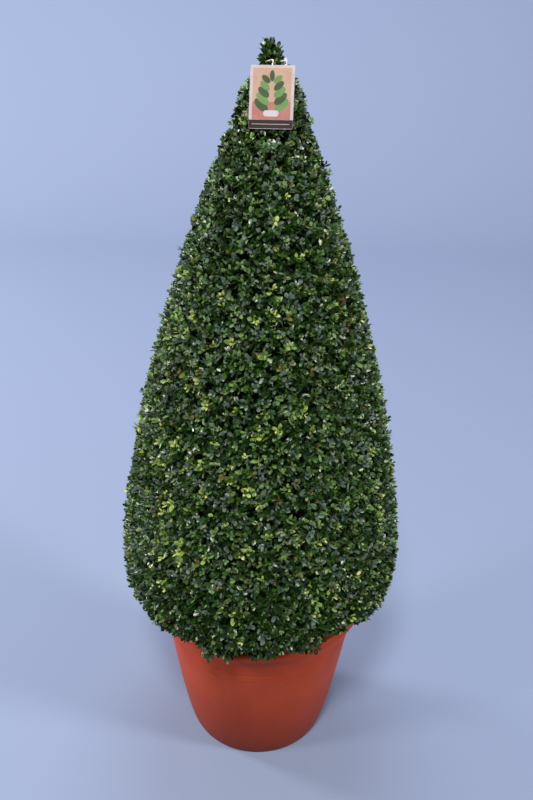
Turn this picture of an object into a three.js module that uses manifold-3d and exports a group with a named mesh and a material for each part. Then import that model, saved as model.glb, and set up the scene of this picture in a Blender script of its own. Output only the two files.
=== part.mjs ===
/**
 * Clipped boxwood cone in its moulded terracotta-coloured pot, with the picture label that
 * hangs from its tip. Millimetres, +Z up. The origin is the centre of the pot's flat
 * underside, and the label faces -Y.
 */
import * as THREE from "three";
import { mergeVertices } from "three/addons/utils/BufferGeometryUtils.js";
import Module from "manifold-3d";

const wasm = await Module();
wasm.setup();

// ---------------------------------------------------------------- driving dimensions

const GAP = 0.3; // clearance between pieces that touch
const WELD = 1e-4; // vertices closer than this are one
const FLATNESS = 0.01; // faces flatter than this across an edge are merged
const SEED = 1427;

const POT = {
  height: 356, // ground to the top of the rim
  footRadius: 135.5, // the side carried down to the ground
  footRounding: 7,
  lineHeights: [260, 280], // two raised lines round the upper part
  lineStep: 1.2, // how far the wall steps out at each line
  lineBevel: 2, // height in which it does so
  waistRadius: 186, // just under the lower line
  sideBulge: 0.7, // power of height by which the side swells
  bandFlare: 0.8, // widening of each band above a line
  coveFoot: 304, // where the wall starts to turn out to the rim
  coveCurl: 1.8, // power by which it does so
  rimRadius: 215,
  rimFall: 14, // drop of the rim's rounded outer edge
  rimEdge: 7, // how far that edge is rounded inwards
  rimWidth: 29, // from its outer to its inner edge
  rimTurn: 7, // depth of the inner edge, which is turned down
  wall: 4.5,
  floor: 6,
  segments: 42,
};

const SOIL = {
  level: 322, // at the stem
  edgeDrop: 6, // lower at the wall
  flatRadius: 60, // the level part that the stem stands on
};

const STEM = {
  radius: 17, // above the root flare
  tipRadius: 13,
  flare: 15, // added at the soil
  flareDecay: 16, // height over which the flare dies away
  lobes: 5, // root buttresses
  lobeDepth: 0.16,
  top: 440,
  lean: new THREE.Vector2(5, 3), // drift of the axis from foot to tip
  sides: 20,
  rings: 7,
};

const CROWN = {
  bottom: 358, // leaf tips under the skirt
  waistHeight: 470,
  waistRadius: 270,
  apex: 1425, // where the cone's curve would close
  top: 1384, // leaf tips of the cone, below the tuft
  shoulderPower: 4, // roundness of the skirt
  taperPower: 1.5, // belly of the cone's side
  tipPower: 0.9, // bluntness of its tip
  coreInset: 29, // leaves' depth at the waist
  coreTop: 1370,
  coreSides: 18,
  coreRings: 11,
  skirtRings: 5,
  sprays: 165,
};

const LEAF = {
  length: 66, // one leaf stands for a few real ones
  widthRatio: 0.56,
  thickness: 1.8,
  belly: 0.46, // where along it is widest
  cup: 0.1, // rise of the edges over the width
  rootOffset: 0.3, // from the middle of the twig, so that a pair's roots stay apart
  shrinkSteps: [1, 0.85, 0.7, 0.55], // tried until the tip keeps inside the outline
};

const SPRAY = {
  sunk: 12, // twig below the core's surface
  reach: 15, // twig above it
  radius: 2.4,
  tipRadius: 1.3,
  pairs: [
    { rise: 9, splay: 68, size: 1 }, // lower pair: place up the twig, angle off it
    { rise: 14, splay: 50, size: 0.75 },
  ],
  upward: 0.45, // how much the shoots turn up
  scatter: 0.5,
  smallest: 0.45, // size of sprays at the cone's tip
  topMargin: 6, // highest spray below the top of the leaves
  sizePower: 0.3,
};

const TUFT = {
  leaderRadius: 3.2,
  leaderTipRadius: 2,
  leaderTop: 1404,
  leaderSides: 8,
  fork: 1388,
  shoots: [
    { x: -9, y: -1, top: 1421 },
    { x: 8, y: 2, top: 1412 },
    { x: -2, y: 3, top: 1424 },
    { x: 3, y: -7, top: 1408 },
    { x: -4, y: 11, top: 1406 },
    { x: 13, y: -4, top: 1402 },
    { x: -13, y: -6, top: 1404 },
  ],
  shootRadius: 1.3,
  leafLength: 19,
  leafWidthRatio: 0.48,
  leafThickness: 1,
  leafSpacing: 7.2,
  firstLeaf: 5,
  splay: 32,
  radius: 23,
  top: 1428,
  bottom: 1386,
};

const LABEL = {
  width: 68,
  length: 93,
  thickness: 1,
  corner: 2,
  centre: new THREE.Vector3(1.8, -43, 1350),
  lean: 22, // degrees that its top leans back
  turn: -11, // degrees that its face is turned off the front
  hang: -3.2, // degrees that it hangs askew
};

const STRAP = {
  radius: 1.3,
  arcSides: 2, // sides in each quarter of its section
  steps: 28,
  height: 1393, // where it passes round the leader
  side: 9.5, // half its width there
  front: 6, // distance in front of the leader where it turns in
  leftX: -1.1, // where its two ends meet the card
  rightX: 19.7,
  lap: 7, // length of each end behind the card
  rise: 8, // length above the card's edge before it bends
  bow: 1.5, // how far it bows back over that length
};

const FINISH = {
  pot: { color: 0x9a4033, roughness: 0.5, metalness: 0 },
  soil: { color: 0x3b2d22, roughness: 1, metalness: 0 },
  stem: { color: 0x8a7d63, roughness: 0.9, metalness: 0 },
  crown: { color: 0x2f4a22, roughness: 0.5, metalness: 0 },
  tuft: { color: 0x3a5a26, roughness: 0.5, metalness: 0 },
  card: { color: 0xf0d2c4, roughness: 0.4, metalness: 0 },
  strap: { color: 0xf2f2ee, roughness: 0.4, metalness: 0 },
};

const UP = new THREE.Vector3(0, 0, 1);
const GOLDEN_ANGLE = Math.PI * (3 - Math.sqrt(5));

// ---------------------------------------------------------------- solids and meshes

/** A seeded random number source, 0 to 1. */
function randomSource(seed) {
  let state = seed;
  return () => {
    state = (state + 0x6d2b79f5) | 0;
    let mixed = Math.imul(state ^ (state >>> 15), 1 | state);
    mixed = (mixed + Math.imul(mixed ^ (mixed >>> 7), 61 | mixed)) ^ mixed;
    return ((mixed ^ (mixed >>> 14)) >>> 0) / 4294967296;
  };
}

/** The closed solid that a three.js geometry bounds. */
function solidOf(geometry) {
  const bare = new THREE.BufferGeometry();
  bare.setAttribute("position", geometry.getAttribute("position"));
  bare.setIndex(geometry.getIndex());
  const merged = mergeVertices(bare, WELD);
  const corners = merged.getIndex().array;
  const kept = [];
  for (let i = 0; i < corners.length; i += 3) {
    const [a, b, c] = corners.slice(i, i + 3);
    if (a !== b && b !== c && c !== a) kept.push(a, b, c);
  }
  return new wasm.Manifold(
    new wasm.Mesh({
      numProp: 3,
      vertProperties: new Float32Array(merged.getAttribute("position").array),
      triVerts: new Uint32Array(kept),
    }),
  );
}

/** A solid made of listed corners and triangles. */
function solidOfFaces(corners, faces) {
  return new wasm.Manifold(
    new wasm.Mesh({
      numProp: 3,
      vertProperties: new Float32Array(corners.flatMap((corner) => corner.toArray())),
      triVerts: new Uint32Array(faces.flat()),
    }),
  );
}

/** A named mesh of a solid. */
function meshOf(name, solid, finish) {
  const { vertProperties, triVerts } = solid.getMesh();
  const geometry = new THREE.BufferGeometry();
  geometry.setAttribute("position", new THREE.BufferAttribute(new Float32Array(vertProperties), 3));
  geometry.setIndex(new THREE.BufferAttribute(new Uint32Array(triVerts), 1));
  geometry.computeVertexNormals();
  const mesh = new THREE.Mesh(geometry, new THREE.MeshStandardMaterial(finish));
  mesh.name = name;
  return mesh;
}

/** The solid swept by a profile of [radius, height] that starts and ends on the axis. */
function revolve(profile, segments) {
  const points = profile.map(([radius, height]) => new THREE.Vector2(radius, height));
  return solidOf(new THREE.LatheGeometry(points, segments).rotateX(Math.PI / 2));
}

/** Solids joined into one body; a loose scrap or a sealed hollow is dropped. */
function fuse(solids) {
  const pieces = wasm.Manifold.union(solids).decompose();
  const body = pieces.reduce((best, piece) => (piece.volume() > best.volume() ? piece : best));
  return body.asOriginal().simplify(FLATNESS);
}

/** A straight limb with flat ends, between two points, with a number of sides. */
function limb(from, to, fromRadius, toRadius, sides) {
  const along = to.clone().sub(from).normalize();
  const across = crosswise(along);
  const square = along.clone().cross(across);
  const ring = (centre, radius) =>
    Array.from({ length: sides }, (_, i) => {
      const angle = (2 * Math.PI * i) / sides;
      return centre
        .clone()
        .addScaledVector(across, radius * Math.cos(angle))
        .addScaledVector(square, radius * Math.sin(angle));
    });
  const faces = [];
  for (let i = 0; i < sides; i += 1) {
    const next = (i + 1) % sides;
    faces.push([i, next, sides + next], [i, sides + next, sides + i]);
    if (i > 0 && i < sides - 1) {
      faces.push([0, i + 1, i], [sides, sides + i, sides + i + 1]);
    }
  }
  return solidOfFaces([...ring(from, fromRadius), ...ring(to, toRadius)], faces);
}

/** A unit vector square to the given one. */
function crosswise(along) {
  const other = Math.abs(along.z) < 0.9 ? UP : new THREE.Vector3(1, 0, 0);
  return other.clone().cross(along).normalize();
}

// ---------------------------------------------------------------- pot and soil

/** Outer radius of the pot's side below its lower line. */
function potSide(height) {
  const share = (height / POT.lineHeights[0]) ** POT.sideBulge;
  return POT.footRadius + (POT.waistRadius - POT.footRadius) * share;
}

/** Outer profile of the pot, from the edge of its underside to the outside of its rim. */
function potOutline() {
  const outline = [];
  const footCentre = POT.footRadius - 4;
  for (let i = 0; i <= 3; i += 1) {
    const angle = (Math.PI / 2) * (i / 3.4 - 1);
    outline.push([
      footCentre + POT.footRounding * Math.cos(angle),
      POT.footRounding * (1 + Math.sin(angle)),
    ]);
  }
  const sideSteps = 7;
  for (let i = 1; i <= sideSteps; i += 1) {
    const height = (POT.lineHeights[0] * i) / sideSteps;
    outline.push([potSide(height), height]);
  }
  let radius = POT.waistRadius;
  POT.lineHeights.forEach((height, i) => {
    radius += POT.lineStep;
    outline.push([radius, height + POT.lineBevel]);
    radius += POT.bandFlare;
    outline.push([radius, POT.lineHeights[i + 1] ?? POT.coveFoot]);
  });
  const coveTop = POT.height - POT.rimFall;
  const coveSteps = 3;
  for (let i = 1; i <= coveSteps; i += 1) {
    const share = i / coveSteps;
    outline.push([
      radius + (POT.rimRadius - radius) * share ** POT.coveCurl,
      POT.coveFoot + (coveTop - POT.coveFoot) * share,
    ]);
  }
  return outline;
}

/** Profile of the broad rim: rounded over, flat on top, and turned down at its inner edge. */
function potRim() {
  const over = [1, 2, 3].map((step) => {
    const angle = (step * Math.PI) / 6;
    return [
      POT.rimRadius - POT.rimEdge * (1 - Math.cos(angle)),
      POT.height - POT.rimFall * (1 - Math.sin(angle)),
    ];
  });
  const inner = POT.rimRadius - POT.rimWidth;
  return [
    ...over,
    [inner + 2, POT.height],
    [inner, POT.height - 2],
    [inner, POT.height - POT.rimTurn],
    [inner + POT.wall, POT.height - POT.rimTurn],
    [POT.rimRadius - POT.rimEdge - POT.wall, POT.height - POT.wall],
  ];
}

/** Inner profile of the pot, smooth behind the lines, from its floor to inside its rim. */
function potInside(clearance = 0) {
  const inset = POT.wall + clearance;
  const stepTops = POT.lineHeights.map((height) => height + POT.lineBevel);
  const wall = potOutline()
    .filter(([, height]) => height > 2 * POT.footRounding && !stepTops.includes(height))
    .map(([radius, height]) => [radius - inset, height]);
  return [[potSide(POT.floor) - inset, POT.floor + clearance], ...wall];
}

function pot() {
  const inside = potInside().reverse();
  const profile = [[0, 0], ...potOutline(), ...potRim(), ...inside, [0, POT.floor]];
  return meshOf("pot", revolve(profile, POT.segments), FINISH.pot);
}

/** The filling of compost, domed a little towards the stem. */
function soil() {
  const edgeLevel = SOIL.level - SOIL.edgeDrop;
  const wall = potInside(GAP).filter(([, height]) => height < edgeLevel - 1);
  const [wallRadius] = wall.at(-1);
  const floor = POT.floor + GAP;
  const profile = [
    [0, floor],
    ...wall,
    [wallRadius, edgeLevel],
    [SOIL.flatRadius, SOIL.level],
    [0, SOIL.level],
  ];
  return meshOf("soil", revolve(profile, POT.segments), FINISH.soil);
}

// ---------------------------------------------------------------- stem

/** The short trunk, with its buttressed foot; grown all round by a clearance for its socket. */
function stemSolid(clearance) {
  const foot = SOIL.level + GAP;
  const top = STEM.top + clearance;
  const corners = [];
  const faces = [];
  for (let ring = 0; ring <= STEM.rings; ring += 1) {
    const share = (ring / STEM.rings) ** 1.6;
    const height = foot + (top - foot) * share;
    const flare = Math.exp((foot - height) / STEM.flareDecay);
    const centre = STEM.lean.clone().multiplyScalar(share);
    const radius = THREE.MathUtils.lerp(STEM.radius, STEM.tipRadius, share) + STEM.flare * flare;
    for (let side = 0; side < STEM.sides; side += 1) {
      const angle = (2 * Math.PI * side) / STEM.sides;
      const lobe = 1 + STEM.lobeDepth * flare * Math.cos(STEM.lobes * angle);
      const reach = radius * lobe + clearance;
      corners.push(
        new THREE.Vector3(
          centre.x + reach * Math.cos(angle),
          centre.y + reach * Math.sin(angle),
          height,
        ),
      );
      if (ring === STEM.rings) continue;
      const here = ring * STEM.sides + side;
      const beside = ring * STEM.sides + ((side + 1) % STEM.sides);
      faces.push(
        [here, beside, beside + STEM.sides],
        [here, beside + STEM.sides, here + STEM.sides],
      );
    }
  }
  const last = STEM.rings * STEM.sides;
  for (let side = 1; side < STEM.sides - 1; side += 1) {
    faces.push([0, side + 1, side], [last, last + side, last + side + 1]);
  }
  return solidOfFaces(corners, faces);
}

// ---------------------------------------------------------------- leaves

/** A leaf of eight faces: a cupped diamond from its root along a direction. */
function leafSolid(root, along, face, length, widthRatio, thickness) {
  const side = along.clone().cross(face).normalize();
  const width = length * widthRatio;
  const belly = root.clone().addScaledVector(along, length * LEAF.belly);
  const edge = (sign) =>
    belly
      .clone()
      .addScaledVector(side, (sign * width) / 2)
      .addScaledVector(face, width * LEAF.cup);
  const corners = [
    root,
    root.clone().addScaledVector(along, length),
    edge(1),
    edge(-1),
    belly.clone().addScaledVector(face, thickness / 2),
    belly.clone().addScaledVector(face, -thickness / 2),
  ];
  const faces = [
    [0, 2, 4],
    [2, 1, 4],
    [1, 3, 4],
    [3, 0, 4],
    [2, 0, 5],
    [1, 2, 5],
    [3, 1, 5],
    [0, 3, 5],
  ];
  return solidOfFaces(corners, faces);
}

/** True where the boxes round two solids meet. */
function boxesMeet(first, second) {
  return [0, 1, 2].every(
    (axis) => first.min[axis] <= second.max[axis] && second.min[axis] <= first.max[axis],
  );
}

/** True where a solid shares space with any of the others. */
function touches(solid, others) {
  const box = solid.boundingBox();
  return others.some(
    (other) => boxesMeet(box, other.boundingBox()) && !solid.intersect(other).isEmpty(),
  );
}

/** Opposite leaves, one on each side of a shoot, that keep to their space. */
function leafPair({ node, axis, across, splay, length, widthRatio, thickness, fits }) {
  const leaves = [];
  const angle = THREE.MathUtils.degToRad(splay);
  for (const sign of [1, -1]) {
    const outward = across.clone().multiplyScalar(sign);
    const along = axis
      .clone()
      .multiplyScalar(Math.cos(angle))
      .addScaledVector(outward, Math.sin(angle));
    const face = axis
      .clone()
      .multiplyScalar(Math.sin(angle))
      .addScaledVector(outward, -Math.cos(angle));
    const root = node.clone().addScaledVector(outward, LEAF.rootOffset);
    for (const shrink of LEAF.shrinkSteps) {
      const full = length * shrink;
      const tip = root.clone().addScaledVector(along, full);
      const leaf = leafSolid(root, along, face, full, widthRatio, thickness);
      if (fits(tip, leaf)) {
        leaves.push(leaf);
        break;
      }
    }
  }
  return leaves;
}

// ---------------------------------------------------------------- crown

/** Radius of the clipped outline at a height: a rounded skirt under a bellied cone. */
function crownRadius(height) {
  const { bottom, waistHeight, waistRadius, apex } = CROWN;
  if (height <= bottom || height >= apex) return 0;
  if (height < waistHeight) {
    const drop = (waistHeight - height) / (waistHeight - bottom);
    return waistRadius * (1 - drop ** CROWN.shoulderPower) ** (1 / CROWN.shoulderPower);
  }
  const climb = (height - waistHeight) / (apex - waistHeight);
  return waistRadius * (1 - climb ** CROWN.taperPower) ** CROWN.tipPower;
}

/** Size of the sprays where the crown has a given radius. */
function spraySize(radius) {
  const share = Math.max(radius, 1) / CROWN.waistRadius;
  return Math.max(SPRAY.smallest, share ** SPRAY.sizePower);
}

/** The clipped outline as points [radius, height], from the axis below up to a height. */
function crownOutline(top) {
  const outline = [];
  for (let i = 0; i < CROWN.skirtRings; i += 1) {
    const angle = (Math.PI / 2) * (1 - i / CROWN.skirtRings);
    const power = 2 / CROWN.shoulderPower;
    outline.push([
      CROWN.waistRadius * Math.cos(angle) ** power,
      CROWN.waistHeight - (CROWN.waistHeight - CROWN.bottom) * Math.sin(angle) ** power,
    ]);
  }
  for (let i = 0; i <= CROWN.coreRings; i += 1) {
    const height = THREE.MathUtils.lerp(CROWN.waistHeight, top, i / CROWN.coreRings);
    outline.push([crownRadius(height), height]);
  }
  return outline;
}

/** The twiggy inside of the crown as one solid, sunk below the outline by the leaves' depth. */
function crownCore() {
  const outline = crownOutline(CROWN.coreTop).map((point) => new THREE.Vector2(...point));
  const profile = outline.map((point, i) => {
    const before = outline[Math.max(i - 1, 0)];
    const after = outline[Math.min(i + 1, outline.length - 1)];
    const run = after.clone().sub(before).normalize();
    const depth = CROWN.coreInset * spraySize(point.x);
    return [Math.max(point.x - run.y * depth, 0), point.y + run.x * depth];
  });
  const side = profile.slice(1).filter(([, height]) => height < CROWN.coreTop);
  const [topRadius] = side.at(-1);
  const [, bottom] = profile[1];
  const top = [
    [topRadius, CROWN.coreTop],
    [0, CROWN.coreTop],
  ];
  return revolve([[0, bottom], ...side, ...top], CROWN.coreSides);
}

/**
 * Places on the outline for the sprays, evenly spread for their size: equal steps of area
 * over size squared, turned by the golden angle from one to the next.
 */
function sprayPlaces() {
  const outline = crownOutline(CROWN.top - SPRAY.topMargin);
  const cells = outline.slice(1).map(([radius, height], i) => {
    const [lowRadius, lowHeight] = outline[i];
    const run = new THREE.Vector2(radius - lowRadius, height - lowHeight);
    const middle = (radius + lowRadius) / 2;
    return {
      low: new THREE.Vector2(lowRadius, lowHeight),
      run,
      weight: (middle * run.length()) / spraySize(middle) ** 2,
    };
  });
  const total = cells.reduce((sum, cell) => sum + cell.weight, 0);
  const places = [];
  let cell = 0;
  let passed = 0;
  for (let i = 0; i < CROWN.sprays; i += 1) {
    const wanted = (total * (i + 0.5)) / CROWN.sprays;
    while (passed + cells[cell].weight < wanted) {
      passed += cells[cell].weight;
      cell += 1;
    }
    const { low, run, weight } = cells[cell];
    const at = low.clone().addScaledVector(run, (wanted - passed) / weight);
    const normal = new THREE.Vector2(run.y, -run.x).normalize();
    const angle = i * GOLDEN_ANGLE;
    const outward = (radial, height) =>
      new THREE.Vector3(radial * Math.cos(angle), radial * Math.sin(angle), height);
    places.push({
      point: outward(at.x, at.y),
      normal: outward(normal.x, normal.y),
      size: spraySize(at.x),
    });
  }
  return places;
}

/** A spray: a three-sided twig out of the core with crossed pairs of leaves. */
function spray({ point, normal, size }, random, fits) {
  const wander = new THREE.Vector3(random() - 0.5, random() - 0.5, random() - 0.5);
  const axis = normal
    .clone()
    .addScaledVector(UP, SPRAY.upward * (1 - Math.abs(normal.z)))
    .addScaledVector(wander, SPRAY.scatter)
    .normalize();
  const surface = point.clone().addScaledVector(normal, -CROWN.coreInset * size);
  const from = surface.clone().addScaledVector(axis, -SPRAY.sunk);
  const to = surface.clone().addScaledVector(axis, SPRAY.reach * size);
  const spin = random() * Math.PI;
  const leaves = SPRAY.pairs.flatMap(({ rise, splay, size: share }, i) =>
    leafPair({
      node: surface.clone().addScaledVector(axis, rise * size),
      axis,
      across: crosswise(axis).applyAxisAngle(axis, spin + (i * Math.PI) / 2),
      splay,
      length: LEAF.length * size * share * (0.85 + 0.3 * random()),
      widthRatio: LEAF.widthRatio,
      thickness: LEAF.thickness * size,
      fits,
    }),
  );
  return { twig: limb(from, to, SPRAY.radius, SPRAY.tipRadius, 3), leaves };
}

/** True for a point between the crown's outline and its top. */
function insideCrown(point) {
  const radius = Math.hypot(point.x, point.y);
  return point.z < CROWN.top && radius < crownRadius(point.z) + 1;
}

/** The clipped cone: its core with the sprays that keep clear of it and of one another. */
function crown(keepOut, random) {
  const core = keepOut.reduce((rest, other) => rest.subtract(other), crownCore());
  const taken = [core, ...keepOut];
  const fits = (tip, solid) => insideCrown(tip) && !touches(solid, taken);
  const solids = [core];
  for (const place of sprayPlaces()) {
    const { twig, leaves } = spray(place, random, fits);
    if (leaves.length === 0 || touches(twig, taken.slice(1))) continue;
    solids.push(twig, ...leaves);
    taken.push(twig, ...leaves);
  }
  return fuse(solids);
}

// ---------------------------------------------------------------- tuft at the tip

function leaderSolid(clearance) {
  return limb(
    new THREE.Vector3(0, 0, CROWN.coreTop + GAP),
    new THREE.Vector3(0, 0, TUFT.leaderTop + clearance),
    TUFT.leaderRadius + clearance,
    TUFT.leaderTipRadius + clearance,
    TUFT.leaderSides,
  );
}

/** The unclipped shoots that top the cone, on the end of its leader. */
function tuft(keepOut, random) {
  const inside = (tip) =>
    tip.z < TUFT.top && tip.z > TUFT.bottom && Math.hypot(tip.x, tip.y) < TUFT.radius;
  const fits = (tip, solid) => inside(tip) && !touches(solid, keepOut);
  const solids = [leaderSolid(0)];
  for (const { x, y, top } of TUFT.shoots) {
    const from = new THREE.Vector3(0, 0, TUFT.fork);
    const to = new THREE.Vector3(x, y, top);
    const shoot = limb(from, to, TUFT.shootRadius, TUFT.shootRadius * 0.7, 3);
    if (touches(shoot, keepOut)) continue;
    solids.push(shoot);
    const axis = to.clone().sub(from).normalize();
    const length = from.distanceTo(to);
    let turn = random() * Math.PI;
    for (let at = TUFT.firstLeaf; at < length; at += TUFT.leafSpacing) {
      turn += Math.PI / 2;
      solids.push(
        ...leafPair({
          node: from.clone().addScaledVector(axis, at),
          axis,
          across: crosswise(axis).applyAxisAngle(axis, turn),
          splay: TUFT.splay,
          length: TUFT.leafLength * (0.85 + 0.3 * random()),
          widthRatio: TUFT.leafWidthRatio,
          thickness: TUFT.leafThickness,
          fits,
        }),
      );
    }
  }
  return fuse(solids);
}

// ---------------------------------------------------------------- label

/** Places a geometry made in the label's own frame: x across, y behind, z up the card. */
function onLabel(object) {
  object.position.copy(LABEL.centre);
  object.rotation.set(
    THREE.MathUtils.degToRad(-LABEL.lean),
    THREE.MathUtils.degToRad(LABEL.hang),
    THREE.MathUtils.degToRad(LABEL.turn),
    "ZXY",
  );
  object.updateMatrixWorld(true);
  return object;
}

/** A point of the label's frame in the part's frame. */
function labelPoint(across, behind, up) {
  return new THREE.Vector3(across, behind, up).applyMatrix4(onLabel(new THREE.Object3D()).matrix);
}

/** The card, centred on its own origin, grown by a clearance on each face. */
function cardSolid(clearance) {
  const half = LABEL.width / 2 + clearance;
  const tall = LABEL.length / 2 + clearance;
  const round = LABEL.corner;
  const outline = new THREE.Shape();
  outline.moveTo(-half + round, -tall);
  outline.lineTo(half - round, -tall);
  outline.absarc(half - round, -tall + round, round, -Math.PI / 2, 0);
  outline.absarc(half - round, tall - round, round, 0, Math.PI / 2);
  outline.absarc(-half + round, tall - round, round, Math.PI / 2, Math.PI);
  outline.absarc(-half + round, -tall + round, round, Math.PI, 1.5 * Math.PI);
  const depth = LABEL.thickness + 2 * clearance;
  const geometry = new THREE.ExtrudeGeometry(outline, {
    depth,
    bevelEnabled: false,
    curveSegments: 3,
  });
  return solidOf(geometry.rotateX(Math.PI / 2).translate(0, depth / 2, 0));
}

/** A solid of the label's frame, moved to the part's frame. */
function placedOnLabel(solid) {
  return solid.transform(onLabel(new THREE.Object3D()).matrix.elements.slice());
}

/** The strap, from behind the card's edge round the back of the leader and down again. */
function strapSolid(radius) {
  const behind = LABEL.thickness / 2 + GAP + STRAP.radius;
  const edge = LABEL.length / 2;
  const leader = TUFT.leaderRadius + GAP + STRAP.radius + 0.2;
  const route = [
    labelPoint(STRAP.leftX, behind, edge - STRAP.lap),
    labelPoint(STRAP.leftX, behind, edge),
    labelPoint(STRAP.leftX, behind + STRAP.bow, edge + STRAP.rise),
    new THREE.Vector3(-STRAP.side, -STRAP.front, STRAP.height),
    new THREE.Vector3(0, leader, STRAP.height),
    new THREE.Vector3(STRAP.side, -STRAP.front, STRAP.height),
    labelPoint(STRAP.rightX, behind + STRAP.bow, edge + STRAP.rise),
    labelPoint(STRAP.rightX, behind, edge),
    labelPoint(STRAP.rightX, behind, edge - STRAP.lap),
  ];
  const section = new THREE.Shape();
  section.absarc(0, 0, radius, 0, Math.PI);
  section.absarc(0, 0, radius, Math.PI, 2 * Math.PI);
  return solidOf(
    new THREE.ExtrudeGeometry(section, {
      steps: STRAP.steps,
      curveSegments: STRAP.arcSides,
      bevelEnabled: false,
      extrudePath: new THREE.CatmullRomCurve3(route),
    }),
  );
}

// ---------------------------------------------------------------- the whole plant

const random = randomSource(SEED);
const labelSpace = [placedOnLabel(cardSolid(GAP)), strapSolid(STRAP.radius + GAP)];
const crownKeepOut = [...labelSpace, leaderSolid(GAP), stemSolid(GAP + 0.1)];

const plant = new THREE.Group();
plant.add(pot());
plant.add(soil());
plant.add(meshOf("stem", stemSolid(0), FINISH.stem));
plant.add(meshOf("crown", crown(crownKeepOut, random), FINISH.crown));
plant.add(meshOf("crown_tip", tuft(labelSpace, random), FINISH.tuft));
plant.add(onLabel(meshOf("label_card", cardSolid(0), FINISH.card)));
plant.add(meshOf("label_strap", strapSolid(STRAP.radius), FINISH.strap));

export default plant;
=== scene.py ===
"""Looks of a clipped boxwood cone in its terracotta-coloured pot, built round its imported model.

Metres, +Z up, the origin at the centre of the pot's underside, the label towards -Y.
"""

import logging
import math
from dataclasses import dataclass, field
from enum import Enum

import bpy
import numpy as np
from mathutils import Matrix, Vector


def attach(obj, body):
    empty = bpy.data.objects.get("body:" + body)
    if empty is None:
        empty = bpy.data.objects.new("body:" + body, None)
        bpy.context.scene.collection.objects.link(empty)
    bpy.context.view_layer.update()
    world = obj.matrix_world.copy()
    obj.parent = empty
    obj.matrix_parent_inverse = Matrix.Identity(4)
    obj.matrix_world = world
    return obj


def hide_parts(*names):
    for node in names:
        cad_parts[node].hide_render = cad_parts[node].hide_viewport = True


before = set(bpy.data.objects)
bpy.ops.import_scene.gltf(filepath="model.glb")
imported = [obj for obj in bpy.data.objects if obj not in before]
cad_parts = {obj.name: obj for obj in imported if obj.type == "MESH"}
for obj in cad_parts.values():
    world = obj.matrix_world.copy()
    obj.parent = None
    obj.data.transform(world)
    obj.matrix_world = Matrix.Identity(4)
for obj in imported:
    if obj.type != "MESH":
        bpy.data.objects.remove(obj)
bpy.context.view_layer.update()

LOG = logging.getLogger("boxwood_cone")
FULL_TURN = 2.0 * math.pi
QUARTER_TURN = 0.5 * math.pi
GOLDEN_ANGLE = math.pi * (3.0 - math.sqrt(5.0))
MM = 0.001
UP = np.array([0.0, 0.0, 1.0])


# ------------------------------------------------------------------ arrays and meshes


def unit(vectors: np.ndarray) -> np.ndarray:
    """Vectors scaled to length one, along the last axis."""
    return vectors / np.maximum(np.linalg.norm(vectors, axis=-1, keepdims=True), 1e-12)


def crosswise(along: np.ndarray) -> np.ndarray:
    """A unit vector square to each unit vector: its cross product with +Z, or +X near the pole."""
    other = np.where(np.abs(along[..., 2:3]) < 0.9, UP, np.array([1.0, 0.0, 0.0]))
    return unit(np.cross(other, along))


def square_to(vectors: np.ndarray, along: np.ndarray) -> np.ndarray:
    """Unit vectors less their share along unit vectors: v - (v . a) a."""
    return unit(vectors - (vectors * along).sum(-1, keepdims=True) * along)


def turned(across: np.ndarray, along: np.ndarray, angle: np.ndarray) -> np.ndarray:
    """Vectors square to an axis, turned about it: cos(a) * v + sin(a) * (axis x v)."""
    angle = np.asarray(angle)[..., None]
    return np.cos(angle) * across + np.sin(angle) * np.cross(along, across)


def polar(radius: np.ndarray, angle: np.ndarray, height: np.ndarray) -> np.ndarray:
    """Points (r cos a, r sin a, z) of arrays that match or spread to one shape."""
    radius, angle, height = np.broadcast_arrays(radius, angle, height)
    return np.stack([radius * np.cos(angle), radius * np.sin(angle), height], axis=-1)


def round_angles(sides: int) -> np.ndarray:
    """Angles of a ring's corners, the first on +X."""
    return np.arange(sides) * FULL_TURN / sides


def make_piece(
    name: str,
    points: np.ndarray,
    faces: np.ndarray | list[np.ndarray],
    material: bpy.types.Material,
    smooth: bool = True,
) -> bpy.types.Object:
    """A mesh object at the origin.

    Args:
        name: The piece's name.
        points: An (n, 3) array of places in metres.
        faces: An (m, 3) or (m, 4) array of corners, or a list of such arrays.
        material: Its material.
        smooth: Whether its faces shade as one surface.

    Returns:
        The new object, linked to the scene.
    """
    groups = [faces] if isinstance(faces, np.ndarray) else faces
    groups = [np.asarray(group, dtype=np.int32) for group in groups]
    corners = np.concatenate([group.ravel() for group in groups])
    sizes = np.concatenate([np.full(len(group), group.shape[1], np.int32) for group in groups])
    mesh = bpy.data.meshes.new(name)
    mesh.vertices.add(len(points))
    mesh.vertices.foreach_set("co", np.asarray(points, np.float32).ravel())
    mesh.loops.add(len(corners))
    mesh.loops.foreach_set("vertex_index", corners)
    mesh.polygons.add(len(sizes))
    mesh.polygons.foreach_set("loop_start", (np.cumsum(sizes) - sizes).astype(np.int32))
    mesh.polygons.foreach_set("use_smooth", np.full(len(sizes), smooth))
    mesh.update(calc_edges=True)
    mesh.validate()
    mesh.materials.append(material)
    piece = bpy.data.objects.new(name, mesh)
    bpy.context.scene.collection.objects.link(piece)
    return piece


def grid_faces(rows: int, columns: int, wrap: bool) -> np.ndarray:
    """Four-cornered faces of a grid of points that are numbered row by row.

    Args:
        rows: Rows of points.
        columns: Points in a row.
        wrap: Whether the last column joins the first.

    Returns:
        An (n, 4) array of corners.
    """
    spans = columns if wrap else columns - 1
    row, column = np.meshgrid(np.arange(rows - 1), np.arange(spans), indexing="ij")
    here = row * columns + column
    beside = row * columns + (column + 1) % columns
    return np.stack([here, beside, beside + columns, here + columns], axis=-1).reshape(-1, 4)


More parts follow.
